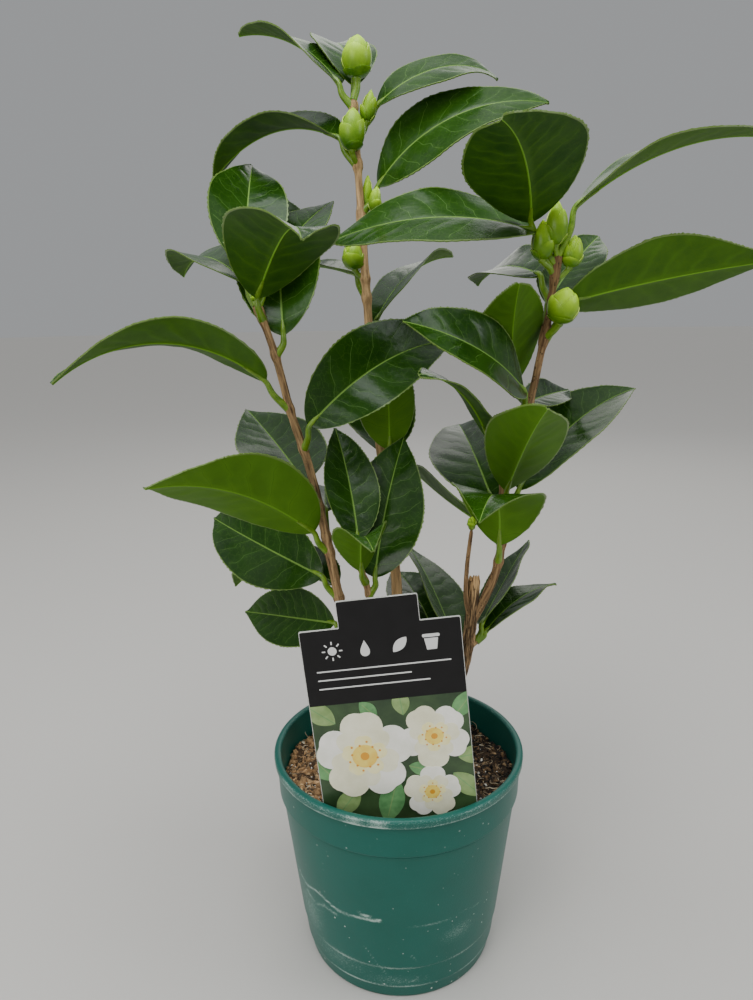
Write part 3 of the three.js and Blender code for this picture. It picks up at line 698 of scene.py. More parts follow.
def outline(t):
    # half width as a share of the greatest half width, drawn out to a short point
    body = np.sin(math.pi * np.clip(t, 0, 1) ** 0.85) ** 0.72 * (1 - 0.25 * t ** 3)
    return body * (1 - 0.3 * np.clip((t - 0.86) / 0.14, 0, 1) ** 1.5 * (t < 0.995))


def bladeFrames(leaf, foot):
    # gives the midrib point and the side and upper directions at any share of the length
    level = headingVector(leaf["heading"] + 90)
    rise, roll = math.radians(leaf["rise"]), math.radians(leaf["roll"])
    forward = headingVector(leaf["heading"]) * math.cos(rise) + up * math.sin(rise)
    upright = np.cross(level, forward)
    side = level * math.cos(roll) - upright * math.sin(roll)
    face = upright * math.cos(roll) + level * math.sin(roll)

    def directionAt(t):
        bend, swing = np.radians(leaf["arch"]) * t[..., None], np.radians(leaf["sweep"]) * t[..., None]
        return (forward * np.cos(bend) * np.cos(swing) - face * np.sin(bend) * np.cos(swing)
                + side * np.sin(swing))

    steps = blade["steps"]
    pieces = directionAt((np.arange(steps) + 0.5) / steps) * leaf["length"] / steps
    line = foot + np.concatenate([np.zeros((1, 3)), np.cumsum(pieces, 0)])

    def at(t):
        shares = np.linspace(0, 1, steps + 1)
        centre = np.stack([np.interp(t, shares, line[:, k]) for k in range(3)], -1)
        bend = np.radians(leaf["arch"]) * t[..., None]
        upper = face * np.cos(bend) + forward * np.sin(bend)
        return centre, np.cross(directionAt(t), upper), upper

    return at


def bladeRows(leaf, random):
    # shares along the midrib, with two close rows at each vein; which strips are veins; the veins' places
    count = int(random.integers(*blade["veins"]))
    veins = np.linspace(0.07, 0.88, count) + random.uniform(-0.014, 0.014, count)
    halfVein = blade["veinWidth"] / leaf["length"] / 2
    between = max(2, round(blade["rowsBetween"] * 10 / (count + 1)))
    stops = np.concatenate([[0.0], veins, [1.0]])
    rows, isVein = [0.0], []
    for k in range(count + 1):
        low = stops[k] + (halfVein if k > 0 else 0)
        high = stops[k + 1] - (halfVein if k < count else 0)
        rows.extend(np.linspace(low, high, between + 2)[1:])
        isVein.extend([False] * (between + 1))
        if k < count:
            rows.append(stops[k + 1] + halfVein)
            isVein.append(True)
    return np.array(rows), np.array(isVein), veins


def bladeSlots(rows, isVein, columns, middle):
    # the finish of each face: top, underside, their ribs and veins, and the margin
    count = len(columns)
    strip = np.arange(2 * count)
    column = np.where(strip < count - 1, strip, 2 * count - 2 - strip)
    onTop = strip < count - 1
    onUnder = (strip >= count) & (strip < 2 * count - 1)
    nearRib = (column == middle - 1) | (column == middle)
    atMargin = (column == 0) | (column == count - 2)
    reach = np.abs(columns[np.clip(column + (column < middle), 0, count - 1)]) <= blade["veinReach"]
    slots = np.full((rows - 1, 2 * count), topSlot)
    slots[:, onUnder] = underSlot
    for row in np.nonzero(isVein)[0]:
        slots[row, onTop & reach] = veinSlot
        slots[row, onUnder & reach] = underVeinSlot
    slots[:, onTop & nearRib] = ribSlot
    slots[:, onUnder & nearRib] = underRibSlot
    slots[:, atMargin | ~(onTop | onUnder)] = marginSlot
    return slots.reshape(-1)


def bladeMesh(leaf, foot, random):
    # points, faces, slots, how near each point is to a vein, and the UV map of one side
    rows, isVein, veins = bladeRows(leaf, random)
    shares = np.array(blade["columns"])
    columns = np.concatenate([-shares[::-1], [0.0, 0.0, 0.0], shares])
    count, middle = len(columns), len(shares) + 1
    across, sideOf = np.abs(columns)[None, :], np.sign(columns)[None, :]
    onRight = sideOf > 0
    s = rows[:, None]

    # t is the share of the length that each point lies at, since the rows lean with the veins
    stagger = 0.045 * (sideOf < 0) * np.minimum(across * 3, 1) * np.sin(math.pi * s)
    lean = 0.75 * across + 0.35 * across ** 3
    wander = np.sin(across * 11 + s * 23 + onRight * 2.1) + 0.6 * np.sin(across * 19 + s * 41)
    wander = blade["veinWander"] * wander * np.minimum(across * 3, 1) * 4 * s * (1 - s)
    t = np.clip(s + stagger + wander + blade["veinLean"] * lean * s * (1 - s), 0, 1)

    # lateral is the distance from the midrib in mm, with the teeth of the margin
    width = np.maximum(leaf["length"] * leaf["breadth"] / 2 * outline(t), blade["leastHalfWidth"])
    toothed = (np.arange(len(rows)) % 2 == 1) & (rows > 0.06) & (rows < 0.985)
    margin = (across == 1) * toothed[:, None] * blade["tooth"] * random.uniform(0.4, 1.2, (len(rows), 1))
    rib = blade["ribWidth"] * (1 - 0.65 * s)
    lateral = sideOf * (rib + (width - rib) * across + margin)
    lateral[:, middle - 1] = -rib[:, 0]
    lateral[:, middle + 1] = rib[:, 0]
    lateral[:, middle] = 0
    share = np.clip(np.abs(lateral) / width, 0, 1.2)

    # lift: the fold along the midrib, the wave of the margin, soft unevenness, and pillows between the veins
    fold = math.radians(leaf["fold"])
    phase = random.uniform(0, fullTurn, 6)
    ends = np.clip(s / 0.1, 0, 1) * np.clip((1 - s) / 0.12, 0, 1)
    lift = share ** 1.3 * width * math.sin(fold)
    lift = lift + blade["wave"] * share ** 2 * np.sin(fullTurn * 1.7 * t + phase[0] + onRight * phase[1])
    swell = np.sin(lateral / 5.5 + phase[2]) * np.sin(t * leaf["length"] / 7 + phase[3])
    swell = (swell + 0.6 * np.sin(lateral / 3.1 + phase[4] + t * 9)
             * np.sin(t * leaf["length"] / 4.2 + phase[5]))
    lift = lift + blade["bulge"] * 0.5 * swell * ends * np.minimum(share * 2, 1)
    nearest = np.abs(rows[:, None] - veins[None, :]).min(1)
    between = np.clip(nearest / ((veins[-1] - veins[0]) / (len(veins) - 1) / 2), 0, 1)[:, None]
    field = np.clip((share - 0.04) / 0.2, 0, 1) * np.clip((0.9 - share) / 0.35, 0, 1)
    pillow = blade["pillow"] * np.sin(between * math.pi / 2) ** 0.8 * field * ends
    fromRib = np.abs(np.arange(count) - middle)[None, :]
    topLift = lift + pillow - 0.1 * (fromRib == 0) * ends + blade["thickness"] / 2
    underRib = (0.85 * (fromRib == 0) + 0.3 * (fromRib == 1)) * (1 - 0.7 * s)
    underLift = lift + 0.6 * pillow - underRib - 0.1 * (1 - between) * field - blade["thickness"] / 2

    centre, side, upper = bladeFrames(leaf, foot)(t)
    flat = centre + side * (lateral * math.cos(fold))[..., None]
    top = flat + upper * topLift[..., None]
    under = flat + upper * underLift[..., None]
    points = np.concatenate([top, under[:, ::-1]], 1).reshape(-1, 3)
    caps = flatCaps(len(rows), count)
    faces = np.concatenate([tubeFaces(len(rows), 2 * count), caps])
    slots = np.concatenate([bladeSlots(len(rows), isVein, columns, middle), np.full(len(caps), marginSlot)])

    veinGlow = np.exp(-(nearest[:, None] * leaf["length"] / 1.3) ** 2) * (share < 0.9)
    veinGlow = np.maximum(veinGlow * (1 - 0.6 * share), np.exp(-(np.abs(lateral) / 2.2) ** 2))
    near = np.concatenate([veinGlow, veinGlow[:, ::-1]], 1).reshape(-1)
    uvAcross = np.clip(lateral / (2.3 * width) + 0.5, 0.02, 0.98)
    uv = np.stack([t * 0.94 + 0.03, uvAcross], -1)
    return points, faces, slots, near, uv


stalk = {
    "rows": 20,
    "sides": 12,
    "radius": 1.85,  # mm where it leaves the stem
    "slims": 0.55,  # mm less further out
    "heel": 0.35,  # mm more at its very foot
    "elbow": 1.5,  # mm that its bend stands out
    "sunk": 0.7,  # mm that its tip lies under the midrib
}


def stalkMesh(leaf, root, foot):
    # the stalk rises from inside the stem and turns into the blade's midrib
    at = bladeFrames(leaf, foot)
    elbow = root + 0.55 * (foot - root) + stalk["elbow"] * headingVector(leaf["foot"])
    tip = at(np.array(0.12))[0] - stalk["sunk"] * at(np.array(0.1))[2]
    t = np.linspace(0, 1, stalk["rows"])
    radii = (stalk["radius"] - stalk["slims"] * np.minimum(t * 1.6, 1)
             + stalk["heel"] * np.exp(-(t / 0.12) ** 2))
    radii = radii * np.where(t > 0.75, 1 - 0.62 * (t - 0.75) / 0.25, 1)
    line = [curvePoint([root, elbow, foot, tip], share) for share in t]
    return tube(line, radii, stalk["sides"]), closedTube(stalk["rows"], stalk["sides"])


# Buds: an egg wrapped in overlapping scales

budLook = {
    # tops of the scales as shares of the length, from the foot up; how far each turns and its half width,
    # in degrees; how far the outer ones stand off; and the three powers that give the egg its outline
    "flower": {"tops": (0.17, 0.24, 0.60, 0.74, 0.90, 1.0, 1.0), "turn": 137.5, "wide": 92, "stand": 0.5,
               "egg": (0.9, 2.1, 0.7)},
    "leaf": {"tops": (0.28, 0.50, 0.78, 0.92, 1.0, 1.0), "turn": 150, "wide": 80, "stand": 0.4,
             "egg": (0.78, 1.9, 0.8)},
    "flowerWidth": 9.5,  # mm, a wider bud is a flower bud
    "rings": 14,
    "sides": 20,
    "stalkSides": 12,
    "scaleColumns": 17,
    "scaleRows": 21,
    "scaleThickness": 0.5,
}
stalkSlot, scaleSlot, rimSlot = range(3)


def budRadius(bud, t, look):
    low, bulge, power = look["egg"]
    return bud["width"] / 2 * (1 - np.abs(2 * np.clip(t, 0, 1) ** low - 1) ** bulge) ** power


def budScale(bud, look, k, turned, place, random):
    # one scale: a thin curved sheet with a rim, green at its foot and pale towards its top; the darkening at
    # its foot is painted shade where it comes out from under the scale outside it
    top, count = look["tops"][k], len(look["tops"])
    rows, columns = budLook["scaleRows"], budLook["scaleColumns"]
    b = np.linspace(0, 1, rows)[:, None] ** 0.8
    a = np.linspace(-1, 1, columns)[None, :]
    height = top * b * (1 - 0.05 * a ** 2 * b)
    wide = math.radians(look["wide"]) * np.sqrt(np.clip(1 - b ** 2.6, 0, 1)) * (0.9 + 0.1 * b)
    angle = math.radians(turned + look["turn"] * k + random.uniform(-8, 8)) + a * wide
    stand = look["stand"] * (count - 1 - k) ** 0.75
    nearEdge = np.maximum(np.abs(a) ** 10, b ** 14)
    outer = budRadius(bud, height, look) * 0.88 + stand + 0.15 * (1 - nearEdge)
    outer = outer + 0.3 * (1 - k / count) * np.exp(-(a * 3.5) ** 2) * b ** 2
    inner = outer - budLook["scaleThickness"] * (1 - 0.3 * nearEdge)
    sheet = [place(height, angle, np.maximum(radius, 0.04)) for radius in (outer, inner)]
    points = np.concatenate([sheet[0], sheet[1][:, ::-1]], 1).reshape(-1, 3)
    slots = np.full((rows - 1, 2 * columns), scaleSlot)
    slots[:, [columns - 1, 2 * columns - 1]] = rimSlot
    caps = flatCaps(rows, columns)
    faces = tubeFaces(rows, 2 * columns).tolist() + caps
    # the tone rises with height up the bud, and along each scale from painted shade at its foot to pale at
    # its top
    tone = 0.45 * height + 0.6 * b ** 3 * (1 - 0.4 * np.abs(a) ** 3) + 0.12 * (k / count)
    tone = (tone + random.uniform(-0.05, 0.05)) * (0.2 if top < 0.26 else 1.0) * bud["pale"]
    tone = np.concatenate([tone, tone[:, ::-1]], 1).reshape(-1)
    return (points, faces, list(slots.reshape(-1)) + [rimSlot] * len(caps)), tone


def budMesh(bud, root, random):
    look = budLook["flower" if bud["width"] > budLook["flowerWidth"] else "leaf"]
    rings, sides, stalkSides = budLook["rings"], budLook["sides"], budLook["stalkSides"]
    lean = math.radians(bud["lean"])
    out = headingVector(bud["foot"])
    axis = out * math.sin(lean) + up * math.cos(lean)
    start = root + bud["reach"] * out + bud["lift"] * up
    side = unit(np.cross(axis, headingVector(bud["foot"] + 90)))
    other = np.cross(axis, side)

    def place(height, angle, radius):
        turned = np.cos(angle)[..., None] * side + np.sin(angle)[..., None] * other
        return start + axis * bud["length"] * height[..., None] + radius[..., None] * turned

    t = np.linspace(0, 1, rings)
    core = tube([start + axis * bud["length"] * v for v in t], budRadius(bud, t, look) * 0.9 + 0.03, sides)
    coreFaces = closedTube(rings, sides)
    sunk = start + axis * bud["length"] * 0.16
    line = [root, root + 0.6 * (start - root) + 0.8 * out, start, sunk]
    stem = tube([curvePoint(line, v) for v in t], np.full(rings, bud["stalk"]) + 0.45 * (t > 0.6), stalkSides)
    stemFaces = closedTube(rings, stalkSides)
    parts = [(core, coreFaces, [scaleSlot] * len(coreFaces)), (stem, stemFaces, [stalkSlot] * len(stemFaces))]
    tones = [np.repeat(t, sides), np.zeros(rings * stalkSides)]
    turned = bud.get("spin", random.uniform(0, 360))
    for k in range(len(look["tops"])):
        part, tone = budScale(bud, look, k, turned, place, random)
        parts.append(part)
        tones.append(tone)
    return joinMeshes(parts), np.concatenate(tones)


def bladeUvs(uvs):
    # each side of each blade in its own cell of the UV map
    wide = math.ceil(math.sqrt(len(uvs)))
    high = math.ceil(2 * len(uvs) / wide)
    placed = []
    for k, uv in enumerate(uvs):
        top, under = ((uv + (cell % wide, cell // wide)) / (wide, high) for cell in (2 * k, 2 * k + 1))
        placed.append(np.concatenate([top, under[:, ::-1]], 1).reshape(-1, 2))
    return np.concatenate(placed)


def addLeaves(name, members, random):
    # all the blades of a few masses as one piece
    parts, near, tones, uvs = [], [], [], []
    for leaf, root, foot in leavesOf(members):
        points, faces, slots, nearVein, uv = bladeMesh(leaf, foot, random)
        parts.append((points, faces, slots))
        near.append(nearVein)
        tones.append(np.full(len(points), leaf.get("tone", random.uniform(0.15, 0.75))))
        uvs.append(uv)
    skins = [leafTop, leafRib, leafVein, leafMargin, leafUnder, leafUnderRib, leafUnderVein]
    piece = addPiece(name, *joinMeshes(parts), skins, 42)
    setFloat(piece, "nearVein", np.concatenate(near))
    setFloat(piece, "leafTone", np.concatenate(tones))
    corners = np.zeros(len(piece.data.loops), np.int32)
    piece.data.loops.foreach_get("vertex_index", corners)
    uvMap = piece.data.uv_layers.new(name="OFBake")
    uvMap.data.foreach_set("uv", bladeUvs(uvs)[corners].astype(np.float32).reshape(-1))
    return piece


def addStalks():
    parts = []
    for leaf, root, foot in leavesOf(masses):
        points, faces = stalkMesh(leaf, root, foot)
        parts.append((points, faces, [0] * len(faces)))
    return addPiece("leaf_stalks", *joinMeshes(parts), [stalkSkin])


def addBuds(random):
    grown = []
    for mass in masses:
        for entry in mass.get("buds", []):
            bud = {**usualBud, **entry}
            grown.append(budMesh(bud, pointAtHeight(mass["route"], bud["at"]), random))
    for route, height, length, width in tipBuds:
        bud = dict(usualBud, foot=0, length=length, width=width, reach=0, lift=1, lean=0)
        grown.append(budMesh(bud, pointAtHeight(route, height), random))
    parts, tones = zip(*grown)
    piece = addPiece("buds", *joinMeshes(parts), [stalkSkin, budSkin, budRim], 60)
    setFloat(piece, "budToneAndShade", np.concatenate(tones))
    return piece


tipBuds = [
    # small leaf buds at the ends of the shoots: stem, height, length, width
    (leftRoute, 337, 9, 3.6),
    (innerRoute, 218, 7, 3),
    (twigRoute, 231, 5, 3),
]

# Geometry Nodes

def closeTree(tree, enter, geometry):
    # makes the result real and paints it
    real = addNode(tree, "GeometryNodeRealizeInstances", {"Geometry": geometry})["Geometry"]
    painted = addNode(tree, "GeometryNodeSetMaterial", {"Geometry": real, "Material": enter["Material"]})
    addNode(tree, "NodeGroupOutput", {"Geometry": painted["Geometry"]})
    return tree


def buildStemTree():
    # wraps lines in bark, as thick as their attribute says
    tree, enter = newTree("barkStems", "GeometryNodeTree", [
        ("Geometry", "Geometry"), ("Step", "Float", 0.001), ("Sides", "Int", 20), ("Relief", "Float", 0.1),
        ("Ridges", "Float", 400.0), ("Material", "Material"),
    ], ("Geometry", "Geometry"))

    def read(name, kind="FLOAT"):
        return addNode(tree, "GeometryNodeInputNamedAttribute", {"Name": name}, data_type=kind)["Attribute"]

    def store(geometry, name, value, kind="FLOAT"):
        inputs = {"Geometry": geometry, "Name": name, "Value": value}
        return addNode(tree, "GeometryNodeStoreNamedAttribute", inputs, data_type=kind)["Geometry"]

    def vectorMath(operation, inputs):
        return addNode(tree, "ShaderNodeVectorMath", inputs, operation=operation)["Vector"]

    line = addNode(tree, "GeometryNodeMeshToCurve", {"Mesh": enter["Geometry"]})["Curve"]
    spaced = addNode(tree, "GeometryNodeResampleCurve", {"Curve": line, "Length": enter["Step"]},
                     mode="LENGTH")
    circle = addNode(tree, "GeometryNodeCurvePrimitiveCircle", {"Radius": 1, "Resolution": enter["Sides"]})
    far = addNode(tree, "GeometryNodeSplineParameter")["Length"]
    position = addNode(tree, "GeometryNodeInputPosition")["Position"]
    skin = addNode(tree, "GeometryNodeCurveToMesh", {
        "Curve": store(spaced["Curve"], "far", far),
        "Profile Curve": store(circle["Curve"], "round", position, "FLOAT_VECTOR"),
        "Scale": read("thickness"), "Fill Caps": True})["Mesh"]

    # a place on the bark: round the stem in the first two axes, along it in the third
    height = addNode(tree, "ShaderNodeCombineXYZ", {"Z": read("far")})["Vector"]
    around = vectorMath("SCALE", {0: read("round", "FLOAT_VECTOR"), "Scale": read("thickness")})
    place = vectorMath("ADD", {0: around, 1: height})
    placed = store(skin, "barkPlace", place, "FLOAT_VECTOR")

    # bark relief: furrows drawn out along the stem, pushed along the normal
    stretched = vectorMath("MULTIPLY", {0: place, 1: (1, 1, 0.14)})
    furrows = addNode(tree, "ShaderNodeTexNoise", {
        "Vector": stretched, "Scale": enter["Ridges"], "Detail": 3})
    centred = addMath(tree, "SUBTRACT", furrows["Fac"], 0.52)
    depth = addMath(tree, "MULTIPLY", read("thickness"), enter["Relief"])
    rise = addMath(tree, "MULTIPLY", centred, addMath(tree, "MULTIPLY", depth, read("gnarl")))
    normal = addNode(tree, "GeometryNodeInputNormal")["Normal"]
    push = vectorMath("SCALE", {0: normal, "Scale": rise})
    moved = addNode(tree, "GeometryNodeSetPosition", {"Geometry": placed, "Offset": push})["Geometry"]
    return closeTree(tree, enter, moved)


def buildScatterTree():
    # small pieces strewn over a surface, each turned, sized and tumbled by the seed
    tree, enter = newTree("strewOverSurface", "GeometryNodeTree", [
        ("Geometry", "Geometry"), ("Density", "Float", 1000.0), ("Smallest", "Float", 0.6),
        ("Largest", "Float", 1.4), ("Tumble", "Float", 1.0), ("Spin", "Float", 3.14), ("Seed", "Int", 1),
        ("Bits", "Collection"), ("Where", "String", "strewn"), ("Material", "Material"),
    ], ("Geometry", "Geometry"))
    seed = enter["Seed"]
    where = addNode(tree, "GeometryNodeInputNamedAttribute", {"Name": enter["Where"]}, data_type="FLOAT")
    density = addMath(tree, "MULTIPLY", where["Attribute"], enter["Density"])
    spots = addNode(tree, "GeometryNodeDistributePointsOnFaces",
                    {"Mesh": enter["Geometry"], "Density": density, "Seed": seed})
    most = {"X": enter["Tumble"], "Y": enter["Tumble"], "Z": enter["Spin"]}
    least = {axis: addMath(tree, "MULTIPLY", angle, -1) for axis, angle in most.items()}
    low, high = (addNode(tree, "ShaderNodeCombineXYZ", angles)["Vector"] for angles in (least, most))
    turn = addNode(tree, "FunctionNodeRandomValue", {0: low, 1: high, "Seed": seed}, data_type="FLOAT_VECTOR")
    tumbled = addNode(tree, "FunctionNodeEulerToRotation", {"Euler": turn[0]})["Rotation"]
    lying = addNode(tree, "FunctionNodeRotateRotation", {"Rotation": spots["Rotation"], "Rotate By": tumbled},
                    rotation_space="LOCAL")
    size = addNode(tree, "FunctionNodeRandomValue", {2: enter["Smallest"], 3: enter["Largest"], "Seed": seed},
                   data_type="FLOAT")
    bits = addNode(tree, "GeometryNodeCollectionInfo",
                   {"Collection": enter["Bits"], "Separate Children": True, "Reset Children": True})
    strewn = addNode(tree, "GeometryNodeInstanceOnPoints", {
        "Points": spots["Points"], "Instance": bits["Instances"], "Pick Instance": True,
        "Rotation": lying["Rotation"], "Scale": size[1]})
    return closeTree(tree, enter, strewn["Instances"])


def growWith(host, tree, values, name):
    # runs a Geometry Nodes tree on the host and keeps its result as a plain mesh
    modifier = host.modifiers.new(tree.name, "NODES")
    modifier.node_group = tree
    for item in tree.interface.items_tree:
        if item.in_out == "INPUT" and item.name in values:
            modifier[item.identifier] = values[item.name]
    depsgraph = bpy.context.evaluated_depsgraph_get()
    mesh = bpy.data.meshes.new_from_object(host.evaluated_get(depsgraph))
    mesh.name = name
    host.modifiers.remove(modifier)
    smooth(mesh)
    return putInScene(name, mesh)


# Stems: Geometry Nodes wrap the routes in bark

stems = {
    "step": 0.9,  # mm between rings
    "sides": 32,
    "relief": 0.36,  # share of the radius, on smooth young wood
    "ridges": 620.0,  # waves per metre round the stem
    "slim": 0.93,  # share of the source's radius, before the bark's relief
    "knot": 0.7,  # swelling in mm where a leaf's stalk leaves
    "trunkFlare": 4.5,
    "splinters": 11,  # on the cut end of the right bough
    "tipLength": 3,  # mm, the rounded end of a shoot
}

stemStretches = [
    # stem, lowest and highest height in mm, how pale, how red and how cracked its bark is
    (trunkRoute, 97.5, 124, 0.05, 0.0, 2.0),
    (middleRoute, 120, 428, 0.5, 0.1, 0.9),
    (leftRoute, 110, 338, 0.1, 0.3, 0.9),
    (rightRoute, 108, 203, 0.15, 0.1, 2.0),
    (innerRoute, 132, 218, 0.2, 0.2, 0.9),
    (twigRoute, 182, 231, 0.1, 0.6, 0.8),
    (rightShootRoute, 180, 358, 0.1, 0.8, 0.9),
]


def stemThickness(route, height, knots):
    radius = radiusAtHeight(route, height)
    if route is trunkRoute:
        t = min(max((height - 96) / 30, 0), 1)
        radius = 5.6 - 0.6 * t + stems["trunkFlare"] * (1 - t) ** 3
        # rounded off at the top, where the boughs part
        radius *= math.sqrt(min(1, max(0.02, 1 - ((height - 119) / 5.5) ** 2))) if height > 119 else 1
    swelling = sum(math.exp(-((height - knot - 0.6) / 2.2) ** 2) for knot in knots)
    return radius + stems["knot"] * min(swelling, 1.2)


def addStems():
    looks = {"thickness": [], "pale": [], "red": [], "gnarl": []}
    points, edges = [], []

    def putLine(line):
        # each entry is a point, its radius in mm, and how pale, red and cracked it is
        edges.extend((len(points) + k, len(points) + k + 1) for k in range(len(line) - 1))
        for point, radius, *tones in line:
            points.append(point)
            for values, value in zip(looks.values(), (radius * mm, *tones)):
                values.append(value)

    for route, low, high, paleness, redness, cracks in stemStretches:
        knots = [grown["at"] for mass in masses if mass["route"] is route
                 for grown in mass["leaves"] + mass.get("buds", []) if "at" in grown]
        count = int((high - low) / 1.5) + 1
        cut = route is rightRoute
        line = []
        for k in range(count + 1):
            height = low + (high - low) * k / count
            left = high - height
            radius = stemThickness(route, height, knots) * stems["slim"]
            if route is not trunkRoute and not cut and left < stems["tipLength"]:
                radius *= math.sqrt(max(0.06, 1 - (1 - left / stems["tipLength"]) ** 2))
            old = min(1, left / 60)
            line.append((pointAtHeight(route, height), radius, paleness + (0.5 if cut and left < 7 else 0.0),
                         redness * (1.2 - 0.5 * old), cracks * (1 if cut else 0.8 + 0.2 * old)))
        putLine(line)
    for mass in masses:
        if "spur" in mass:
            root, tip = spurLine(mass)
            last = spur["rings"] - 1
            putLine([(root + (tip - root) * k / last,
                      spur["radius"] * (1.25 - 0.45 * k / last) * (0.3 if k == last else 1), 0.1, 0.2, 1)
                     for k in range(last + 1)])

    # splinters round the cut end of the right bough
    random = np.random.default_rng(6)
    cutHeight = rightRoute["points"][-1][2]
    top = pointAtHeight(rightRoute, cutHeight)
    around = stemThickness(rightRoute, cutHeight, []) * stems["slim"]
    for k in range(stems["splinters"]):
        out = headingVector(360 * k / stems["splinters"] + random.uniform(-10, 10))
        tall = random.uniform(0.8, 3.2)
        putLine([(top + out * (around - 0.75 + 0.12 * step) + up * step, 0.85 * share, 0.9, 0.0, 0.6)
                 for step, share in ((-4, 1.0), (0, 0.9), (tall * 0.6, 0.6), (tall, 0.15))])
    host = putInScene("stemLines", newMesh("stemLines", points, [], edges))
    for name, values in looks.items():
        setFloat(host, name, values)
    piece = growWith(host, stemTree, {
        "Step": stems["step"] * mm, "Sides": stems["sides"], "Relief": stems["relief"],
        "Ridges": stems["ridges"], "Material": barkSkin}, "stems")
    bpy.data.objects.remove(host)
    return piece


# Soil

potting = {
    "height": 98,
    "lumps": 1.9,  # mm up and down
    "flatRadius": 13,
    "floor": 2.3,
    "rings": 46,
    "spokes": 150,
    "bigBitsClear": 2.6,  # mm between the wall and the largest bits
    "crumbsClear": 1.0,
}


def wallRadius(height):
    return pot["footRadius"] + (pot["topRadius"] - pot["footRadius"]) * height / pot["collarFoot"]


def soilEdge():
    return wallRadius(potting["height"]) - pot["wall"] - 0.5


def soilTop(x, y):
    # a rolling surface with hollows, flat round the trunk
    waves = (math.sin(x * 0.14 + 0.7) * math.cos(y * 0.17 - 1.1) + 0.6 * math.sin(x * 0.31 + y * 0.22 + 2.0)
             + 0.4 * math.cos(x * 0.53 - y * 0.47) + 0.25 * math.sin(x * 0.9 + y * 1.1))
    away = min(1, max(0, (math.hypot(x, y - 6) - potting["flatRadius"]) / 12))
    return potting["height"] + potting["lumps"] * 0.75 * waves * (0.3 + 0.7 * away)


def addSoil():
    rings, spokes, floor = potting["rings"], potting["spokes"], potting["floor"]
    angles = [fullTurn * spoke / spokes for spoke in range(spokes)]
    points = [(0, 0, soilTop(0, 0))]
    for ring in range(1, rings + 1):
        radius = soilEdge() * ring / rings
        drop = -2.5 if ring == rings else 0
        for angle in angles:
            x, y = radius * math.cos(angle), radius * math.sin(angle)
            points.append((x, y, soilTop(x, y) + drop))
    radius = wallRadius(floor) - pot["wall"] - 0.6
    points += [(radius * math.cos(angle), radius * math.sin(angle), floor) for angle in angles]
    points.append((0, 0, floor))
    faces = [(face[0], *face[:0:-1]) for face in latheFaces(rings + 1, spokes)]
    piece = addPiece("soil_bed", points, faces, 0, [soilSkin])
    fixNormals(piece)
    return piece


def makeBits(name, count, build, random):
    # a small collection of seeded meshes for the strewing tree
    bits = bpy.data.collections.new(name)
    for k in range(count):
        bit = bpy.data.objects.new(f"{name}{k}", newMesh(f"{name}{k}", *build(random)))
        fixNormals(bit)
        bits.objects.link(bit)
    return bits


def lumpShape(detail, rough, stretch):
    def build(random):
        shape = bmesh.new()
        bmesh.ops.create_icosphere(shape, subdivisions=detail, radius=1)
        points = np.array([v.co[:] for v in shape.verts])
        faces = [[v.index for v in face.verts] for face in shape.faces]
        shape.free()
        push = 1 + rough * random.uniform(-1, 1, (len(points), 1))
        return points * push * (np.array(stretch) * random.uniform(0.8, 1.2, 3)), faces
    return build


def chipShape(random):
    # a splinter of bark: a flat, bent slab with ragged ends
    rows = 5
    length, width, thick = random.uniform(2.4, 5), random.uniform(0.9, 1.9), random.uniform(0.3, 0.6)
    bend = random.uniform(-0.5, 0.5)
    points = []
    for row in range(rows):
        t = row / (rows - 1) * 2 - 1
        wide = width * (1 - 0.3 * abs(t)) * random.uniform(0.75, 1.1)
        lift = bend * (1 - t * t)
        for x, z in ((-wide, -thick), (wide, -thick), (wide, thick), (-wide, thick)):
            points.append((x + random.uniform(-0.15, 0.15), t * length, z + lift + random.uniform(-0.1, 0.1)))
    return points, closedTube(rows, 4)


def fibreShape(length, radius, sway):
    def build(random):
        line, here, heading = [], np.zeros(3), random.uniform(0, fullTurn)
        curl = random.uniform(-sway, sway)
        sizes = radius * np.array([0.8] + [1.0] * 6 + [0.85, 0.65, 0.3])
        for size in sizes:
            line.append(here)
            heading += curl + random.uniform(-0.45, 0.45)
            step = np.array([math.cos(heading), math.sin(heading), random.uniform(-0.3, 0.4)])
            here = here + step * length / (len(sizes) - 1) * random.uniform(0.7, 1.3)
        return tube(line, sizes, 4), closedTube(len(sizes), 4)
    return build


soilBits = {
    # shape, how many kinds of it, how many per square metre, smallest and largest scale, most tumble,
    # the part of the bed that it lies on, seed
    "soil_crumbs": (lumpShape(1, 0.28, (1.2, 1.0, 0.85)), 6, 330000.0, 0.25, 1.15, 3.1, "strewnFine", 3),
    "soil_clods": (lumpShape(2, 0.3, (1.3, 1.0, 0.8)), 6, 26000.0, 0.9, 2.1, 3.1, "strewn", 4),
    "soil_chips": (chipShape, 8, 24000.0, 0.3, 0.9, 0.35, "strewn", 5),
    "soil_flakes": (chipShape, 6, 7000.0, 0.25, 0.62, 0.35, "strewn", 6),
    "soil_fibres": (fibreShape(8, 0.2, 0.5), 8, 42000.0, 0.5, 1.0, 0.35, "strewn", 7),
    "soil_roots": (fibreShape(13, 0.3, 0.7), 8, 9000.0, 0.6, 1.0, 0.35, "strewn", 8),
    "soil_grit": (lumpShape(1, 0.3, (1.0, 0.9, 0.8)), 5, 20000.0, 0.3, 1.0, 3.1, "strewn", 9),
}


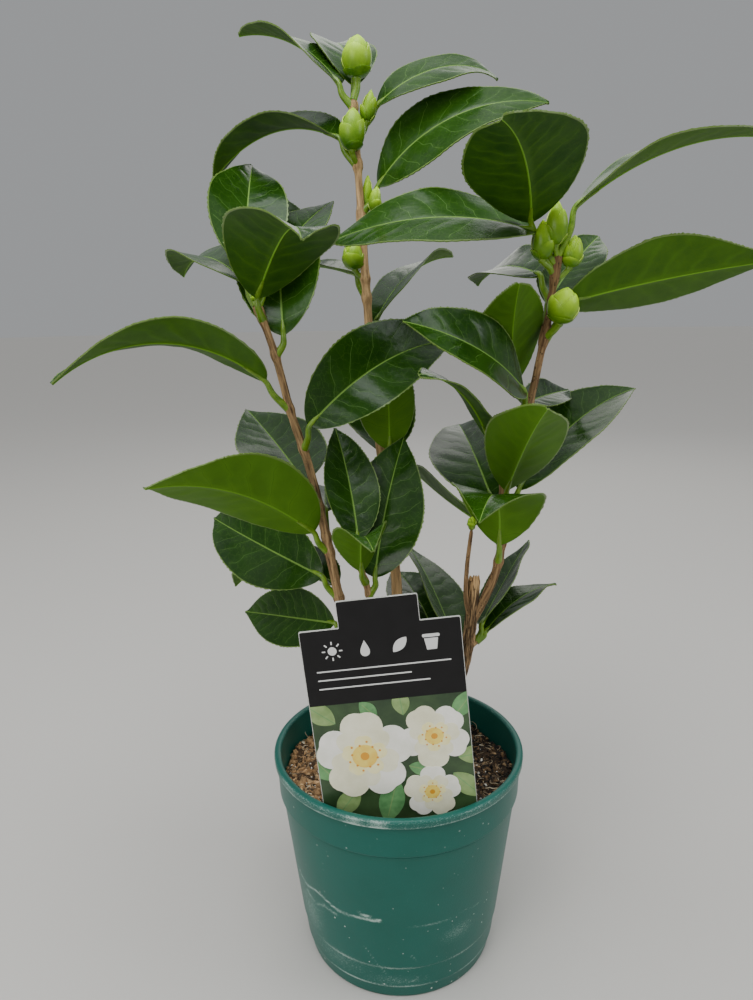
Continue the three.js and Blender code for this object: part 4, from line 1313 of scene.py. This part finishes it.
def strewSoil(bed, random):
    # the loose bits keep clear of the wall and of the slot that the tag stands in
    for name, clear in (("strewn", potting["bigBitsClear"]), ("strewnFine", potting["crumbsClear"])):
        shares = []
        for vertex in bed.data.vertices:
            x, y, z = vertex.co / mm
            slot = abs(y - tag["place"][1]) < 2.2 and abs(x) < 11
            shares.append(1.0 if z > 90 and math.hypot(x, y) < soilEdge() - clear and not slot else 0.0)
        setFloat(bed, name, shares)
    made = []
    for name, (build, count, density, small, large, tumble, where, seed) in soilBits.items():
        made.append(growWith(bed, scatterTree, {
            "Density": density, "Smallest": small, "Largest": large, "Tumble": tumble, "Spin": 3.14,
            "Seed": seed, "Bits": makeBits(name + "Bits", count, build, random), "Where": where,
            "Material": soilSkins[name]}, name))
    return made


# Pot

pot = {
    "height": 113, "rimRadius": 65, "rimHeight": 4.2, "rimDepth": 3.8,
    "collarRadius": 62.8, "collarFoot": 92, "topRadius": 61.4, "footRadius": 50.2, "baseRadius": 49.2,
    "wall": 1.5, "floor": 2, "rings": (8, 21), "ringStep": 0.5,
    "holes": 6, "holeRadius": 4, "holeCircle": 35, "segments": 320,
    "rowGap": 1.3,  # mm between the rows of points down the wall, fine enough to carry the wear
}

potWearAndHighlights = {
    # scrapes as (angle in degrees, height in mm, strength) along a line, and their half width in mm
    "scrapes": [
        ([(-158, 56, 0.5), (-153, 52, 0.9), (-146, 51.5, 0.8), (-138, 54, 0.8), (-132, 53, 0.8),
          (-124, 50.5, 0.9), (-117, 50.5, 0.7), (-110, 51.5, 0.9), (-104, 51.5, 1.2), (-101, 52, 1.3)], 0.85),
        ([(-112, 54.5, 0.9), (-109.5, 54, 1.0), (-105, 53, 1.1)], 0.6),
        ([(-148, 47, 0.7), (-140, 44, 0.4), (-133, 48, 0.5), (-125, 47, 0.5)], 1.2),
        ([(-88, 49, 0.35), (-75, 48.6, 0.5), (-66, 49, 0.45), (-57, 49.5, 0.5), (-45, 48, 0.35)], 0.55),
        ([(-110, 33, 0.5), (-104, 24, 0.5), (-98, 15, 0.5), (-91, 11, 0.6), (-84, 12, 0.5),
          (-80, 15, 0.3)], 0.4),
        ([(-86, 30, 0.6), (-84, 28, 0.5), (-83, 25, 0.2)], 0.6),
        ([(50, 60, 0.3), (62, 57, 0.7), (80, 58, 0.8), (96, 55, 0.4)], 0.7),
        ([(120, 40, 0.4), (133, 37, 0.7), (150, 39, 0.4)], 0.6),
        ([(0, 70, 0.3), (10, 66, 0.5), (18, 61, 0.3)], 0.5),
    ],
    # rubbed patches: angle, height, half width in degrees, half height in mm, strength
    "patches": [
        (-148, 36, 14, 18, 0.40), (-60, 38, 11, 6, 0.34), (-130, 17, 26, 8, 0.30), (-95, 12, 22, 5, 0.27),
        (-160, 88, 14, 12, 0.25), (70, 30, 24, 14, 0.35), (150, 60, 18, 16, 0.3), (10, 25, 20, 10, 0.3),
    ],
    "ringScuffAndHighlight": 0.95,
    # chips on the rim: angle, half width in degrees, strength
    "chips": [(-100, 5.5, 1.0), (-110, 6, 1.0), (-124, 9, 0.55), (-146, 12, 0.7), (-170, 14, 0.6),
              (-78, 10, 0.3), (-52, 12, 0.3), (-25, 14, 0.45), (5, 12, 0.4), (60, 18, 0.4), (115, 20, 0.5)],
}


def wearAndHighlightAt(x, y, z):
    # how scuffed each point of the pot's outside is, with painted highlight along the ring steps and the
    # rim's edges, from 0 to about 1.3
    angle = np.degrees(np.arctan2(y, x))
    radius = np.hypot(x, y)

    def near(place, wide):
        return np.exp(-(((angle - place + 180) % 360 - 180) / wide) ** 2)

    wornAndLit = np.zeros(len(x))
    for line, halfWidth in potWearAndHighlights["scrapes"]:
        for (a0, z0, s0), (a1, z1, s1) in zip(line, line[1:]):
            px, pz = np.radians(angle - a0) * 56, z - z0
            dx, dz = math.radians(a1 - a0) * 56, z1 - z0
            t = np.clip((px * dx + pz * dz) / (dx * dx + dz * dz), 0, 1)
            away = np.hypot(px - t * dx, pz - t * dz)
            wornAndLit = np.maximum(wornAndLit, (s0 + (s1 - s0) * t) * np.exp(-(away / halfWidth) ** 2))
    for place, height, wide, high, strength in potWearAndHighlights["patches"]:
        wornAndLit = np.maximum(wornAndLit, strength * near(place, wide) * np.exp(-((z - height) / high) ** 2))
    # the ring steps: a pale scuffed line that is also a painted highlight along each step's edge
    for ring in pot["rings"]:
        patchy = 0.6 + 0.4 * np.sin(np.radians(angle) * 3 + ring) * np.sin(np.radians(angle) * 7 + 2 * ring)
        wornAndLit = np.maximum(wornAndLit, potWearAndHighlights["ringScuffAndHighlight"] * patchy * np.exp(-((z - ring - 0.1) / 0.7) ** 2))
    low = pot["height"] - pot["rimHeight"]
    inner = pot["rimRadius"] - pot["rimDepth"]
    wornAndLit = wornAndLit * ((radius > pot["footRadius"] - 1.5) & (z > 0.5) & (z < low - 0.4))

    # on the rim: its face most of all along the two edges, and its inner edge; this pale band all round the
    # rim is partly real chips and scratches and partly a painted highlight along the rim's edges
    edge = 0.42 + 0.08 * np.sin(np.radians(angle) * 5)
    for place, wide, strength in potWearAndHighlights["chips"]:
        edge = np.maximum(edge, strength * near(place, wide))
    face = np.exp(-((radius - pot["rimRadius"]) / 0.8) ** 2)
    sharp = 0.55 + 0.7 * np.exp(-((z - low - 0.3) / 0.6) ** 2) + 0.25 * np.exp(-((z - low - 3.4) / 0.5) ** 2)
    sharp = np.maximum(face * sharp, 0.55 * np.exp(-((radius - inner - 0.5) / 0.5) ** 2))
    return np.where((z > low - 0.3) & (radius > inner - 0.2), edge * sharp, wornAndLit)


def potProfile():
    # the wall's section from the middle of the underside, up the outside and down the inside
    low, high = pot["rings"]
    top, foot, step = pot["height"], pot["collarFoot"], pot["ringStep"]
    rimFoot, rim, wall = top - pot["rimHeight"], pot["rimRadius"], pot["topRadius"]
    inner = rim - pot["rimDepth"]
    corners = [
        # radius, height, rounding
        (0, 1.0, 0), (30, 1.0, 2), (42, 1.0, 1), (44, 0, 0.6), (pot["baseRadius"], 0, 1.2),
        (wallRadius(low) - step, low - 0.5, 0.2), (wallRadius(low), low, 0.2),
        (wallRadius(high), high, 0.2), (wallRadius(high) + step, high + 0.5, 0.2),
        (wall, foot - 0.9, 0.3), (wall - 0.35, foot - 0.4, 0.2), (wall, foot, 0.2),
        (pot["collarRadius"], foot + 0.5, 0.35), (pot["collarRadius"] + 0.6, rimFoot, 0.15),
        (rim - 0.3, rimFoot, 0.3), (rim, top - 1.0, 0.9), (rim - 1, top, 0.8), (inner + 0.8, top, 0.8),
        (inner, top - 1, 0.8), (wall - pot["wall"], foot, 1),
        (wallRadius(pot["floor"]) - pot["wall"], pot["floor"], 1.5), (0, pot["floor"], 0),
    ]
    places = [np.array(corner[:2], float) for corner in corners]
    line = [places[0]]
    for before, here, after, (_, _, size) in zip(places, places[1:], places[2:], corners[1:]):
        reaches = (min(size, 0.45 * np.linalg.norm(side - here)) for side in (before, after))
        line += roundCorner(before, here, after, *reaches, 4)
    line.append(places[-1])
    fine = []
    for here, ahead in zip(line, line[1:]):
        fine.append(here)
        outside = min(here[0], ahead[0]) > pot["baseRadius"] - 2 and max(here[1], ahead[1]) < top - 1
        gap = pot["rowGap"] * (0.35 if here[1] > rimFoot - 1 else 1)
        rows = int(np.linalg.norm(ahead - here) / gap) if outside and ahead[1] > here[1] else 0
        fine.extend(here + (ahead - here) * k / (rows + 1) for k in range(1, rows + 1))
    return fine + [np.array([0, pot["floor"]], float)]


def addPot():
    line, segments = potProfile(), pot["segments"]
    points = [(0, 0, line[0][1])]
    for r, z in line[1:-1]:
        for k in range(segments):
            angle = fullTurn * k / segments
            points.append((r * math.cos(angle), r * math.sin(angle), z))
    points.append((0, 0, line[-1][1]))
    piece = addPiece("pot_body", points, latheFaces(len(line) - 2, segments), 0, [potSkin], 40)
    fixNormals(piece)
    cutHoles(piece)
    x, y, z = np.array([vertex.co[:] for vertex in piece.data.vertices]).T / mm
    setFloat(piece, "wearAndHighlight", wearAndHighlightAt(x, y, z))
    dust = 0.35 + 0.65 * np.clip((64 - z) / 30, 0, 1)
    dust = dust * (0.6 + 0.4 * np.sin(np.arctan2(y, x) * 4 + z / 9)) * (z < 108)
    setFloat(piece, "dust", dust)
    return piece


def cutHoles(piece):
    sides, drills = 28, []
    ring = np.array([[math.cos(t), math.sin(t), 0] for t in np.linspace(0, fullTurn, sides + 1)[:-1]])
    for k in range(pot["holes"]):
        angle = (k + 0.5) / pot["holes"] * 2 * math.pi
        centre = pot["holeCircle"] * np.array([math.cos(angle), math.sin(angle), 0])
        points = np.concatenate([centre + ring * pot["holeRadius"] + up * z for z in (-4, 4)])
        faces = closedTube(2, sides)
        drills.append((points, faces, [0] * len(faces)))
    drill = addPiece("drill", *joinMeshes(drills), [potSkin])
    fixNormals(drill)
    cut = piece.modifiers.new("drain", "BOOLEAN")
    cut.operation = "DIFFERENCE"
    cut.object = drill
    cut.solver = "EXACT"
    mesh = bpy.data.meshes.new_from_object(piece.evaluated_get(bpy.context.evaluated_depsgraph_get()))
    piece.modifiers.remove(cut)
    piece.data = mesh
    bpy.data.objects.remove(drill)
    mesh.name = "pot_body"


# Tag: a black plate with a header of plain signs over a drawn panel of three flowers

tag = {
    "width": 71.5, "thickness": 1, "shoulder": 201, "tabWidth": 36, "tabHeight": 12.5, "panelFoot": 101,
    "stakeWidth": 16, "stakeFoot": 52, "lean": 5.5, "place": (-0.6, -48, 112), "corner": 0.9,
    "headerFoot": 164.5, "edge": 0.3,  # mm of pale card left round the print
}


def tagPoint(u, v, depth):
    # u to the right and v up on the tag's face, depth towards the viewer
    a = math.radians(tag["lean"])
    x, y, z = tag["place"]
    return (u * math.cos(a) - v * math.sin(a) + x, y - tag["thickness"] / 2 - depth,
            u * math.sin(a) + v * math.cos(a) + z)


def roundCorners(corners, radius, steps=6):
    # a closed outline with each corner rounded, by its own third number or else by the radius
    places = [np.array(corner[:2], float) for corner in corners]
    line = []
    for k, here in enumerate(places):
        size = corners[k][2] if len(corners[k]) > 2 else radius
        before, after = places[k - 1], places[(k + 1) % len(places)]
        reach = min(size, 0.48 * np.linalg.norm(before - here), 0.48 * np.linalg.norm(after - here))
        line += [tuple(point) for point in roundCorner(before, here, after, reach, reach, steps)]
    return line


def tagOutline(inset, foot=None):
    # the card's outline; with a foot, only the part above that height
    panel, tab = tag["width"] / 2 - inset, tag["tabWidth"] / 2 - inset
    stake = tag["stakeWidth"] / 2 - inset
    top = tag["shoulder"] - tag["place"][2] - inset
    head = [(panel, top), (tab, top, 0.6), (tab, top + tag["tabHeight"]), (-tab, top + tag["tabHeight"]),
            (-tab, top, 0.6), (-panel, top)]
    if foot is not None:
        return roundCorners([(-panel, foot, 0.2), (panel, foot, 0.2)] + head, tag["corner"])
    base = tag["panelFoot"] - tag["place"][2] + inset
    low = tag["stakeFoot"] - tag["place"][2] + inset * 2
    return roundCorners([
        (-panel, base), (-stake, base), (-stake, low + tag["stakeWidth"]), (0, low),
        (stake, low + tag["stakeWidth"]), (stake, base), (panel, base),
    ] + head, tag["corner"])


def turned(u, v, turn, line):
    # a drawn line turned about its start and set down at (u, v)
    c, s = math.cos(math.radians(turn)), math.sin(math.radians(turn))
    return [(u + x * c - y * s, v + x * s + y * c) for x, y in line]


def disc(u, v, radius, count=28):
    angles = [fullTurn * k / count for k in range(count)]
    return [(u + radius * math.cos(angle), v + radius * math.sin(angle)) for angle in angles]


def petal(u, v, length, width, turn, count=30):
    # a rounded petal with a small notch at its tip, from its foot at (u, v)
    line = []
    for k in range(count):
        angle = fullTurn * k / count
        along = length * (0.5 - 0.5 * math.cos(angle))
        along -= length * 0.05 * math.exp(-((angle - math.pi) / 0.22) ** 2)
        line.append((along, width / 2 * math.sin(angle) * (0.5 + 0.5 * along / length)))
    return turned(u, v, turn, line)


def leafSign(u, v, length, width, turn, count=26):
    line = []
    for k in range(count):
        t = k / (count / 2) if k < count / 2 else 2 - k / (count / 2)
        line.append((length * t, width / 2 * math.sin(math.pi * t) ** 0.8 * (1 if k < count / 2 else -1)))
    return turned(u, v, turn, line)


def bar(u0, v0, u1, v1, width):
    a, b = np.array([u0, v0], float), np.array([u1, v1], float)
    ahead = unit(b - a)
    side = np.array([-ahead[1], ahead[0]]) * width / 2
    return roundCorners([tuple(a + side), tuple(a - side), tuple(b - side), tuple(b + side)], width * 0.45, 3)


def headerSigns():
    # sun, drop, leaf and pot signs in a row, and three thin rules under them
    signs = [disc(*tagDrawing["sun"], 2.0)]
    for k in range(8):
        start, end = turned(*tagDrawing["sun"], 45 * k, [(3.0, 0), (4.6, 0)])
        signs.append(bar(*start, *end, 0.65))
    u, v = tagDrawing["drop"]
    signs.append([(u + 3.0 * math.sin(t) * math.sin(t / 2) ** 1.5, v + 3.9 * math.cos(t))
                  for t in np.linspace(0, fullTurn, 33)[:-1]])
    signs.append(leafSign(*tagDrawing["leaf"], 9.2, 4.6, 46))
    u, v = tagDrawing["tub"]
    signs.append([(u - 3.1, v + 1.6), (u - 2.2, v - 3.8), (u + 2.2, v - 3.8), (u + 3.1, v + 1.6)])
    signs.append(bar(u - 3.9, v + 2.9, u + 3.9, v + 2.9, 1.5))
    for left, right, v in tagDrawing["rules"]:
        signs.append(bar(left, v, right, v, 0.6))
    return signs


tagDrawing = {
    # centres of the signs in the header, and its rules: left, right, height
    "sun": (-22, 78.5), "drop": (-7.5, 78.5), "leaf": (4.8, 75.2), "tub": (22, 78.5),
    "rules": [(-30, 30, 69.0), (-30, 12, 69.0 - 4.2), (-30, 20, 69.0 - 8.4)],
    # leaves behind the blossoms: foot u, v, length, width, turn in degrees
    "leaves": [(-25, 43, 16, 10, 140), (-28, 14, 20, 11, 128), (-18, 9, 18, 10, -130), (28, 40, 17, 9, 50),
               (6, 44, 13, 8, 95), (0, 12, 24, 12, -108), (26, 12, 18, 10, -48), (-6, 44, 11, 7, 130),
               (29, 20, 14, 9, 5), (6, 18, 12, 7, -20)],
    # blossoms: centre u, v, length of a petal, turn in degrees
    "blossoms": [(19, 32, 16.5, 47), (15.5, 3.5, 13.5, 84), (-13.5, 25.5, 22.5, 18)],
    # rings of petals from the outside in: turn, share of the length, width for its length, two finishes
    "petals": [(0, 1.0, 1.1, ("petal", "petalShade")), (36, 0.72, 0.95, ("petalShade", "petalShade")),
               (0, 0.48, 0.95, ("cream", "cream"))],
    "layer": 0.006,  # mm between one printed shape and the next
}


def cutToPanel(line):
    # the part of a printed shape that lies on the picture panel
    half = tag["width"] / 2 - tag["edge"]
    foot, top = tag["panelFoot"] - tag["place"][2] + tag["edge"], tag["headerFoot"] - tag["place"][2]
    for axis, limit, sign in ((0, half, 1), (0, -half, -1), (1, top, 1), (1, foot, -1)):
        kept = []
        for k, here in enumerate(line):
            before = line[k - 1]
            inside, was = sign * (limit - here[axis]) >= 0, sign * (limit - before[axis]) >= 0
            if inside != was:
                t = (limit - before[axis]) / (here[axis] - before[axis])
                kept.append((before[0] + t * (here[0] - before[0]), before[1] + t * (here[1] - before[1])))
            if inside:
                kept.append(tuple(here))
        line = kept
    return line


def addTag():
    inks = list(tagSkins)
    parts = []
    printed = 0

    def putSlab(line, low, high, ink):
        # a closed flat shape from depth low to depth high
        count = len(line)
        points = [tagPoint(u, v, low) for u, v in line] + [tagPoint(u, v, high) for u, v in line]
        faces = [tuple(range(count)), tuple(range(2 * count - 1, count - 1, -1))]
        faces += [(k, k + count, (k + 1) % count + count, (k + 1) % count) for k in range(count)]
        parts.append((np.array(points), faces, [inks.index(ink)] * len(faces)))

    def put(line, ink):
        # every printed shape lies a little above the last, so no two share a plane
        nonlocal printed
        printed += 1
        if len(line) > 2:
            putSlab(line, -0.06, 0.03 + printed * tagDrawing["layer"], ink)

    def putBehind(line, ink, over=0.0):
        putSlab(line, -tag["thickness"] + 0.06, -tag["thickness"] - 0.04 - over, ink)

    edge = tag["edge"]
    middle = tag["headerFoot"] - tag["place"][2]
    foot = tag["panelFoot"] - tag["place"][2] + edge
    half, stake = tag["width"] / 2 - edge, tag["stakeWidth"] / 2 - edge
    for low, high, inset in ((-1.0, 0.0, 0.12), (-0.85, -0.15, 0.0)):
        putSlab(tagOutline(inset), low * tag["thickness"], high * tag["thickness"], "card")
    put(tagOutline(edge, middle), "black")
    put([(-half, foot), (half, foot), (half, middle), (-half, middle)], "green")
    put([(-stake, foot - 40), (stake, foot - 40), (stake, foot - 0.6), (-stake, foot - 0.6)], "black")
    for sign in headerSigns():
        put(sign, "white")
    for k, (u, v, length, width, turn) in enumerate(tagDrawing["leaves"]):
        face, rib = ("leaf", "paleLeaf") if k % 2 else ("paleLeaf", "leaf")
        put(cutToPanel(leafSign(u, v, length, width, turn)), face)
        start, end = turned(u, v, turn, [(0, 0), (0.85 * length, 0)])
        put(cutToPanel(bar(*start, *end, 0.35)), rib)
    for u, v, size, turn in tagDrawing["blossoms"]:
        for shift, share, fat, skins in tagDrawing["petals"]:
            for k in range(5):
                line = petal(u, v, size * share, size * share * fat, turn + shift + 72 * k)
                put(cutToPanel(line), skins[k % 2])
        put(disc(u, v, size * 0.26), "yellow")
        put(disc(u, v, size * 0.09), "amber")
        for k in range(12):
            stamen, = turned(u, v, 30 * k + turn, [(size * (0.26 if k % 2 else 0.33), 0)])
            put(disc(*stamen, size * 0.026, 8), "amber")
    putBehind(tagOutline(edge), "black")
    for row in range(9):
        v = 78 - 8 * row
        putBehind(bar(-29, v, 29 - 9 * (row % 3), v, 0.6), "white", 0.03)
    piece = addPiece("tag_plate", *joinMeshes(parts), tagSkins.values(), 35)
    fixNormals(piece)
    return piece


# Finishes: name, dark and light colour, least and greatest roughness, patches per metre

leafTop = variedMaterial("leafTop", (0.06, 0.18, 0.022), (0.18, 0.335, 0.055), (0.20, 0.30), 60, 0.21,
                         patches=0.4, push=[("nearVein", 0.2), ("leafTone", 0.4)],
                         grainScale=420, grainHeight=0.06)
# the undersides are a paler green than the tops, and their colours are set brighter still as painted light,
# standing in for light shining through the blade
leafUnder = variedMaterial("leafUnder", (0.125, 0.265, 0.05), (0.35, 0.52, 0.13), (0.55, 0.65), 70, 0.1,
                           patches=0.22, push=[("nearVein", 0.22), ("leafTone", 0.62)],
                           grainScale=1600, grainHeight=0.02)
leafRib = plainMaterial("leafRib", (0.42, 0.57, 0.22), 0.5, 0.25)
leafVein = plainMaterial("leafVein", (0.285, 0.425, 0.15), 0.4, 0.28)
# the pale line of the margin: partly its own colour, and partly a painted highlight for the glints along the
# edge
leafMargin = plainMaterial("leafMargin", (0.38, 0.49, 0.19), 0.4)
leafUnderRib = plainMaterial("leafUnderRib", (0.43, 0.62, 0.16), 0.5, 0.15)
leafUnderVein = plainMaterial("leafUnderVein", (0.25, 0.40, 0.08), 0.55, 0.1)
budSkin = variedMaterial("budSkin", (0.17, 0.38, 0.04), (0.79, 0.98, 0.19), (0.32, 0.42), 190, 0.3,
                         patches=0.14, push=[("budToneAndShade", 0.95)])
budRim = plainMaterial("budRim", (0.80, 0.88, 0.44), 0.5)
stalkSkin = variedMaterial("stalkSkin", (0.33, 0.48, 0.08), (0.48, 0.62, 0.16), (0.32, 0.42), 260,
                           grainScale=1500, grainHeight=0.03)
barkSkin = variedMaterial("barkSkin", (0.165, 0.088, 0.045), (0.82, 0.675, 0.48), (0.75, 0.9), 950, 0.3,
                          stretch=(1, 1, 0.09), patches=0.9, push=[("pale", 0.65)],
                          grainScale=800, grainHeight=0.24, along="barkPlace")
soilSkin = variedMaterial("soilSkin", (0.08, 0.058, 0.04), (0.33, 0.25, 0.17), (0.9, 1.0), 160,
                          grainScale=900, grainHeight=0.6, drift=((-1, 0, 0), 5))
crumbSkin = variedMaterial("crumbSkin", (0.065, 0.05, 0.035), (0.76, 0.60, 0.42), (0.9, 1.0), 520,
                           patches=0.8, grainScale=1500, grainHeight=0.25, drift=((-1, 0, 0), 6.5))
chipSkin = variedMaterial("chipSkin", (0.13, 0.085, 0.055), (0.90, 0.74, 0.54), (0.8, 0.95), 420,
                          grainScale=1500, grainHeight=0.2, drift=((-1, 0, 0), 5))
flakeSkin = variedMaterial("flakeSkin", (0.50, 0.42, 0.30), (0.97, 0.92, 0.80), (0.8, 0.95), 260,
                           grainScale=1500, grainHeight=0.2)
fibreSkin = variedMaterial("fibreSkin", (0.34, 0.24, 0.15), (0.86, 0.78, 0.64), (0.8, 0.95), 150)
rootSkin = variedMaterial("rootSkin", (0.62, 0.54, 0.42), (0.95, 0.90, 0.78), (0.8, 0.95), 120)
gritSkin = variedMaterial("gritSkin", (0.85, 0.83, 0.77), (1.0, 1.0, 0.98), (0.85, 0.95), 600)
soilSkins = {
    "soil_crumbs": crumbSkin, "soil_clods": crumbSkin, "soil_chips": chipSkin, "soil_flakes": flakeSkin,
    "soil_fibres": fibreSkin, "soil_roots": rootSkin, "soil_grit": gritSkin,
}
potSkin = variedMaterial("potSkin", (0.06, 0.345, 0.30), (0.085, 0.385, 0.34), (0.34, 0.44), 45, 0.3,
                         patches=0.4, grainScale=1400, grainHeight=0.03)
tagSkins = {
    "black": variedMaterial("tagBlack", (0.045, 0.04, 0.045), (0.07, 0.065, 0.07), (0.42, 0.5), 120, 0.3),
    "green": variedMaterial("tagGreen", (0.13, 0.21, 0.12), (0.24, 0.34, 0.20), (0.3, 0.36), 60),
    "white": plainMaterial("tagWhite", (0.86, 0.86, 0.85), 0.4),
    "leaf": variedMaterial("tagLeaf", (0.30, 0.50, 0.30), (0.45, 0.66, 0.42), (0.3, 0.36), 140),
    "paleLeaf": variedMaterial("tagPaleLeaf", (0.44, 0.56, 0.32), (0.58, 0.68, 0.44), (0.3, 0.36), 140),
    "petal": variedMaterial("tagPetal", (0.90, 0.90, 0.84), (0.97, 0.96, 0.93), (0.28, 0.34), 90),
    "petalShade": variedMaterial("tagPetalShade", (0.88, 0.87, 0.74), (0.95, 0.94, 0.84), (0.28, 0.34), 90),
    "yellow": variedMaterial("tagYellow", (0.93, 0.76, 0.30), (0.96, 0.88, 0.45), (0.3, 0.36), 150),
    "card": variedMaterial("tagCard", (0.74, 0.74, 0.72), (0.84, 0.84, 0.82), (0.4, 0.5), 200),
    "cream": variedMaterial("tagCream", (0.94, 0.90, 0.62), (0.97, 0.95, 0.76), (0.28, 0.34), 120),
    "amber": plainMaterial("tagAmber", (0.86, 0.60, 0.14), 0.35),
}

# the net of fine veins and pale specks on the leaves
layOver(leafTop, maskOf(leafTop, veinNet, Scale=260, Width=0.05), (0.33, 0.47, 0.17), 0.2)
layOver(leafTop, maskOf(leafTop, specks, Scale=230, Size=0.09, Share=0.1), (0.55, 0.60, 0.45), 0.5)
layOver(leafUnder, maskOf(leafUnder, veinNet, Scale=220, Width=0.07), (0.34, 0.47, 0.07), 0.12)

# scrapes with ragged edges, painted highlight along the ring steps and the rim's edges in the same pale
# colour, a chalky bloom round them, and two sizes of dust specks on the pot
scrapedAndHighlit = maskOf(potSkin, raggedMask, Mask="wearAndHighlight", Scale=1100, Low=0.32, High=0.95, Stretch=(1, 1, 2.5))
layOver(potSkin, scrapedAndHighlit, (0.78, 0.86, 0.82), 0.85, 0.75)
layOver(potSkin, maskOf(potSkin, fadedMask, Value="wearAndHighlight", Low=0.1, High=1.2), (0.42, 0.56, 0.52), 0.35)
for scale, size, share, colour in (
        (420, 0.22, 0.17, (0.86, 0.89, 0.86)), (170, 0.1, 0.26, (0.88, 0.90, 0.86))):
    dust = maskOf(potSkin, specks, Scale=scale, Size=size, Share=share)
    layOver(potSkin, maskOf(potSkin, fadedMask, Mask=dust, Value="dust"), colour, 0.9, 0.8)

# red-brown young bark with dark lenticels, and cracks in the old bark
layOver(barkSkin, maskOf(barkSkin, fadedMask, Value="red"), (0.31, 0.185, 0.09), 0.62)
pores = maskOf(barkSkin, specks, Scale=1000, Size=0.5, Share=0.35)
layOver(barkSkin, maskOf(barkSkin, fadedMask, Mask=pores, Value="red", High=0.6), (0.12, 0.07, 0.04), 0.75)
cracks = maskOf(barkSkin, raggedMask, "barkPlace", Mask="gnarl", Scale=1100, Low=1.85, High=2.1,
                Stretch=(1, 1, 0.1))
layOver(barkSkin, maskOf(barkSkin, fadedMask, Mask=cracks, Value="gnarl", Low=1.2, High=1.8),
        (0.10, 0.06, 0.04), 0.85)

stemTree = buildStemTree()
scatterTree = buildScatterTree()

# Making

random = np.random.default_rng(20)
addCamera()
addLights()
addFloor()
print("camera, lights and floor")


def keep(piece, slot, *nodes):
    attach(piece, "root")
    if nodes:
        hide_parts(*nodes)


groups = {"left": [], "middle": [], "right": []}
for mass in masses:
    side = "left" if "left" in mass["node"] else "right" if "right" in mass["node"] else "middle"
    groups[side].append(mass)
for side, members in groups.items():
    leaves = addLeaves(f"leaves_{side}", members, random)
    keep(leaves, "leaf", *[mass["node"] for mass in members])
    print(f"leaves_{side}: {sum(len(p.vertices) - 2 for p in leaves.data.polygons)} triangles")
keep(addStalks(), "leaf")
keep(addBuds(random), "leaf")
print("stalks and buds")
keep(addStems(), "bark", "trunk", "bough_middle", "bough_left", "bough_right", "bough_inner", "twig_right")
print("stems")
bed = addSoil()
for bits in strewSoil(bed, random):
    print(f"{bits.name}: {len(bits.data.polygons)} faces")
    keep(bits, "soil")
keep(bed, "soil", "soil")
keep(addPot(), "pot", "pot")
keep(addTag(), "tag", "tag")
print("soil, pot and tag")
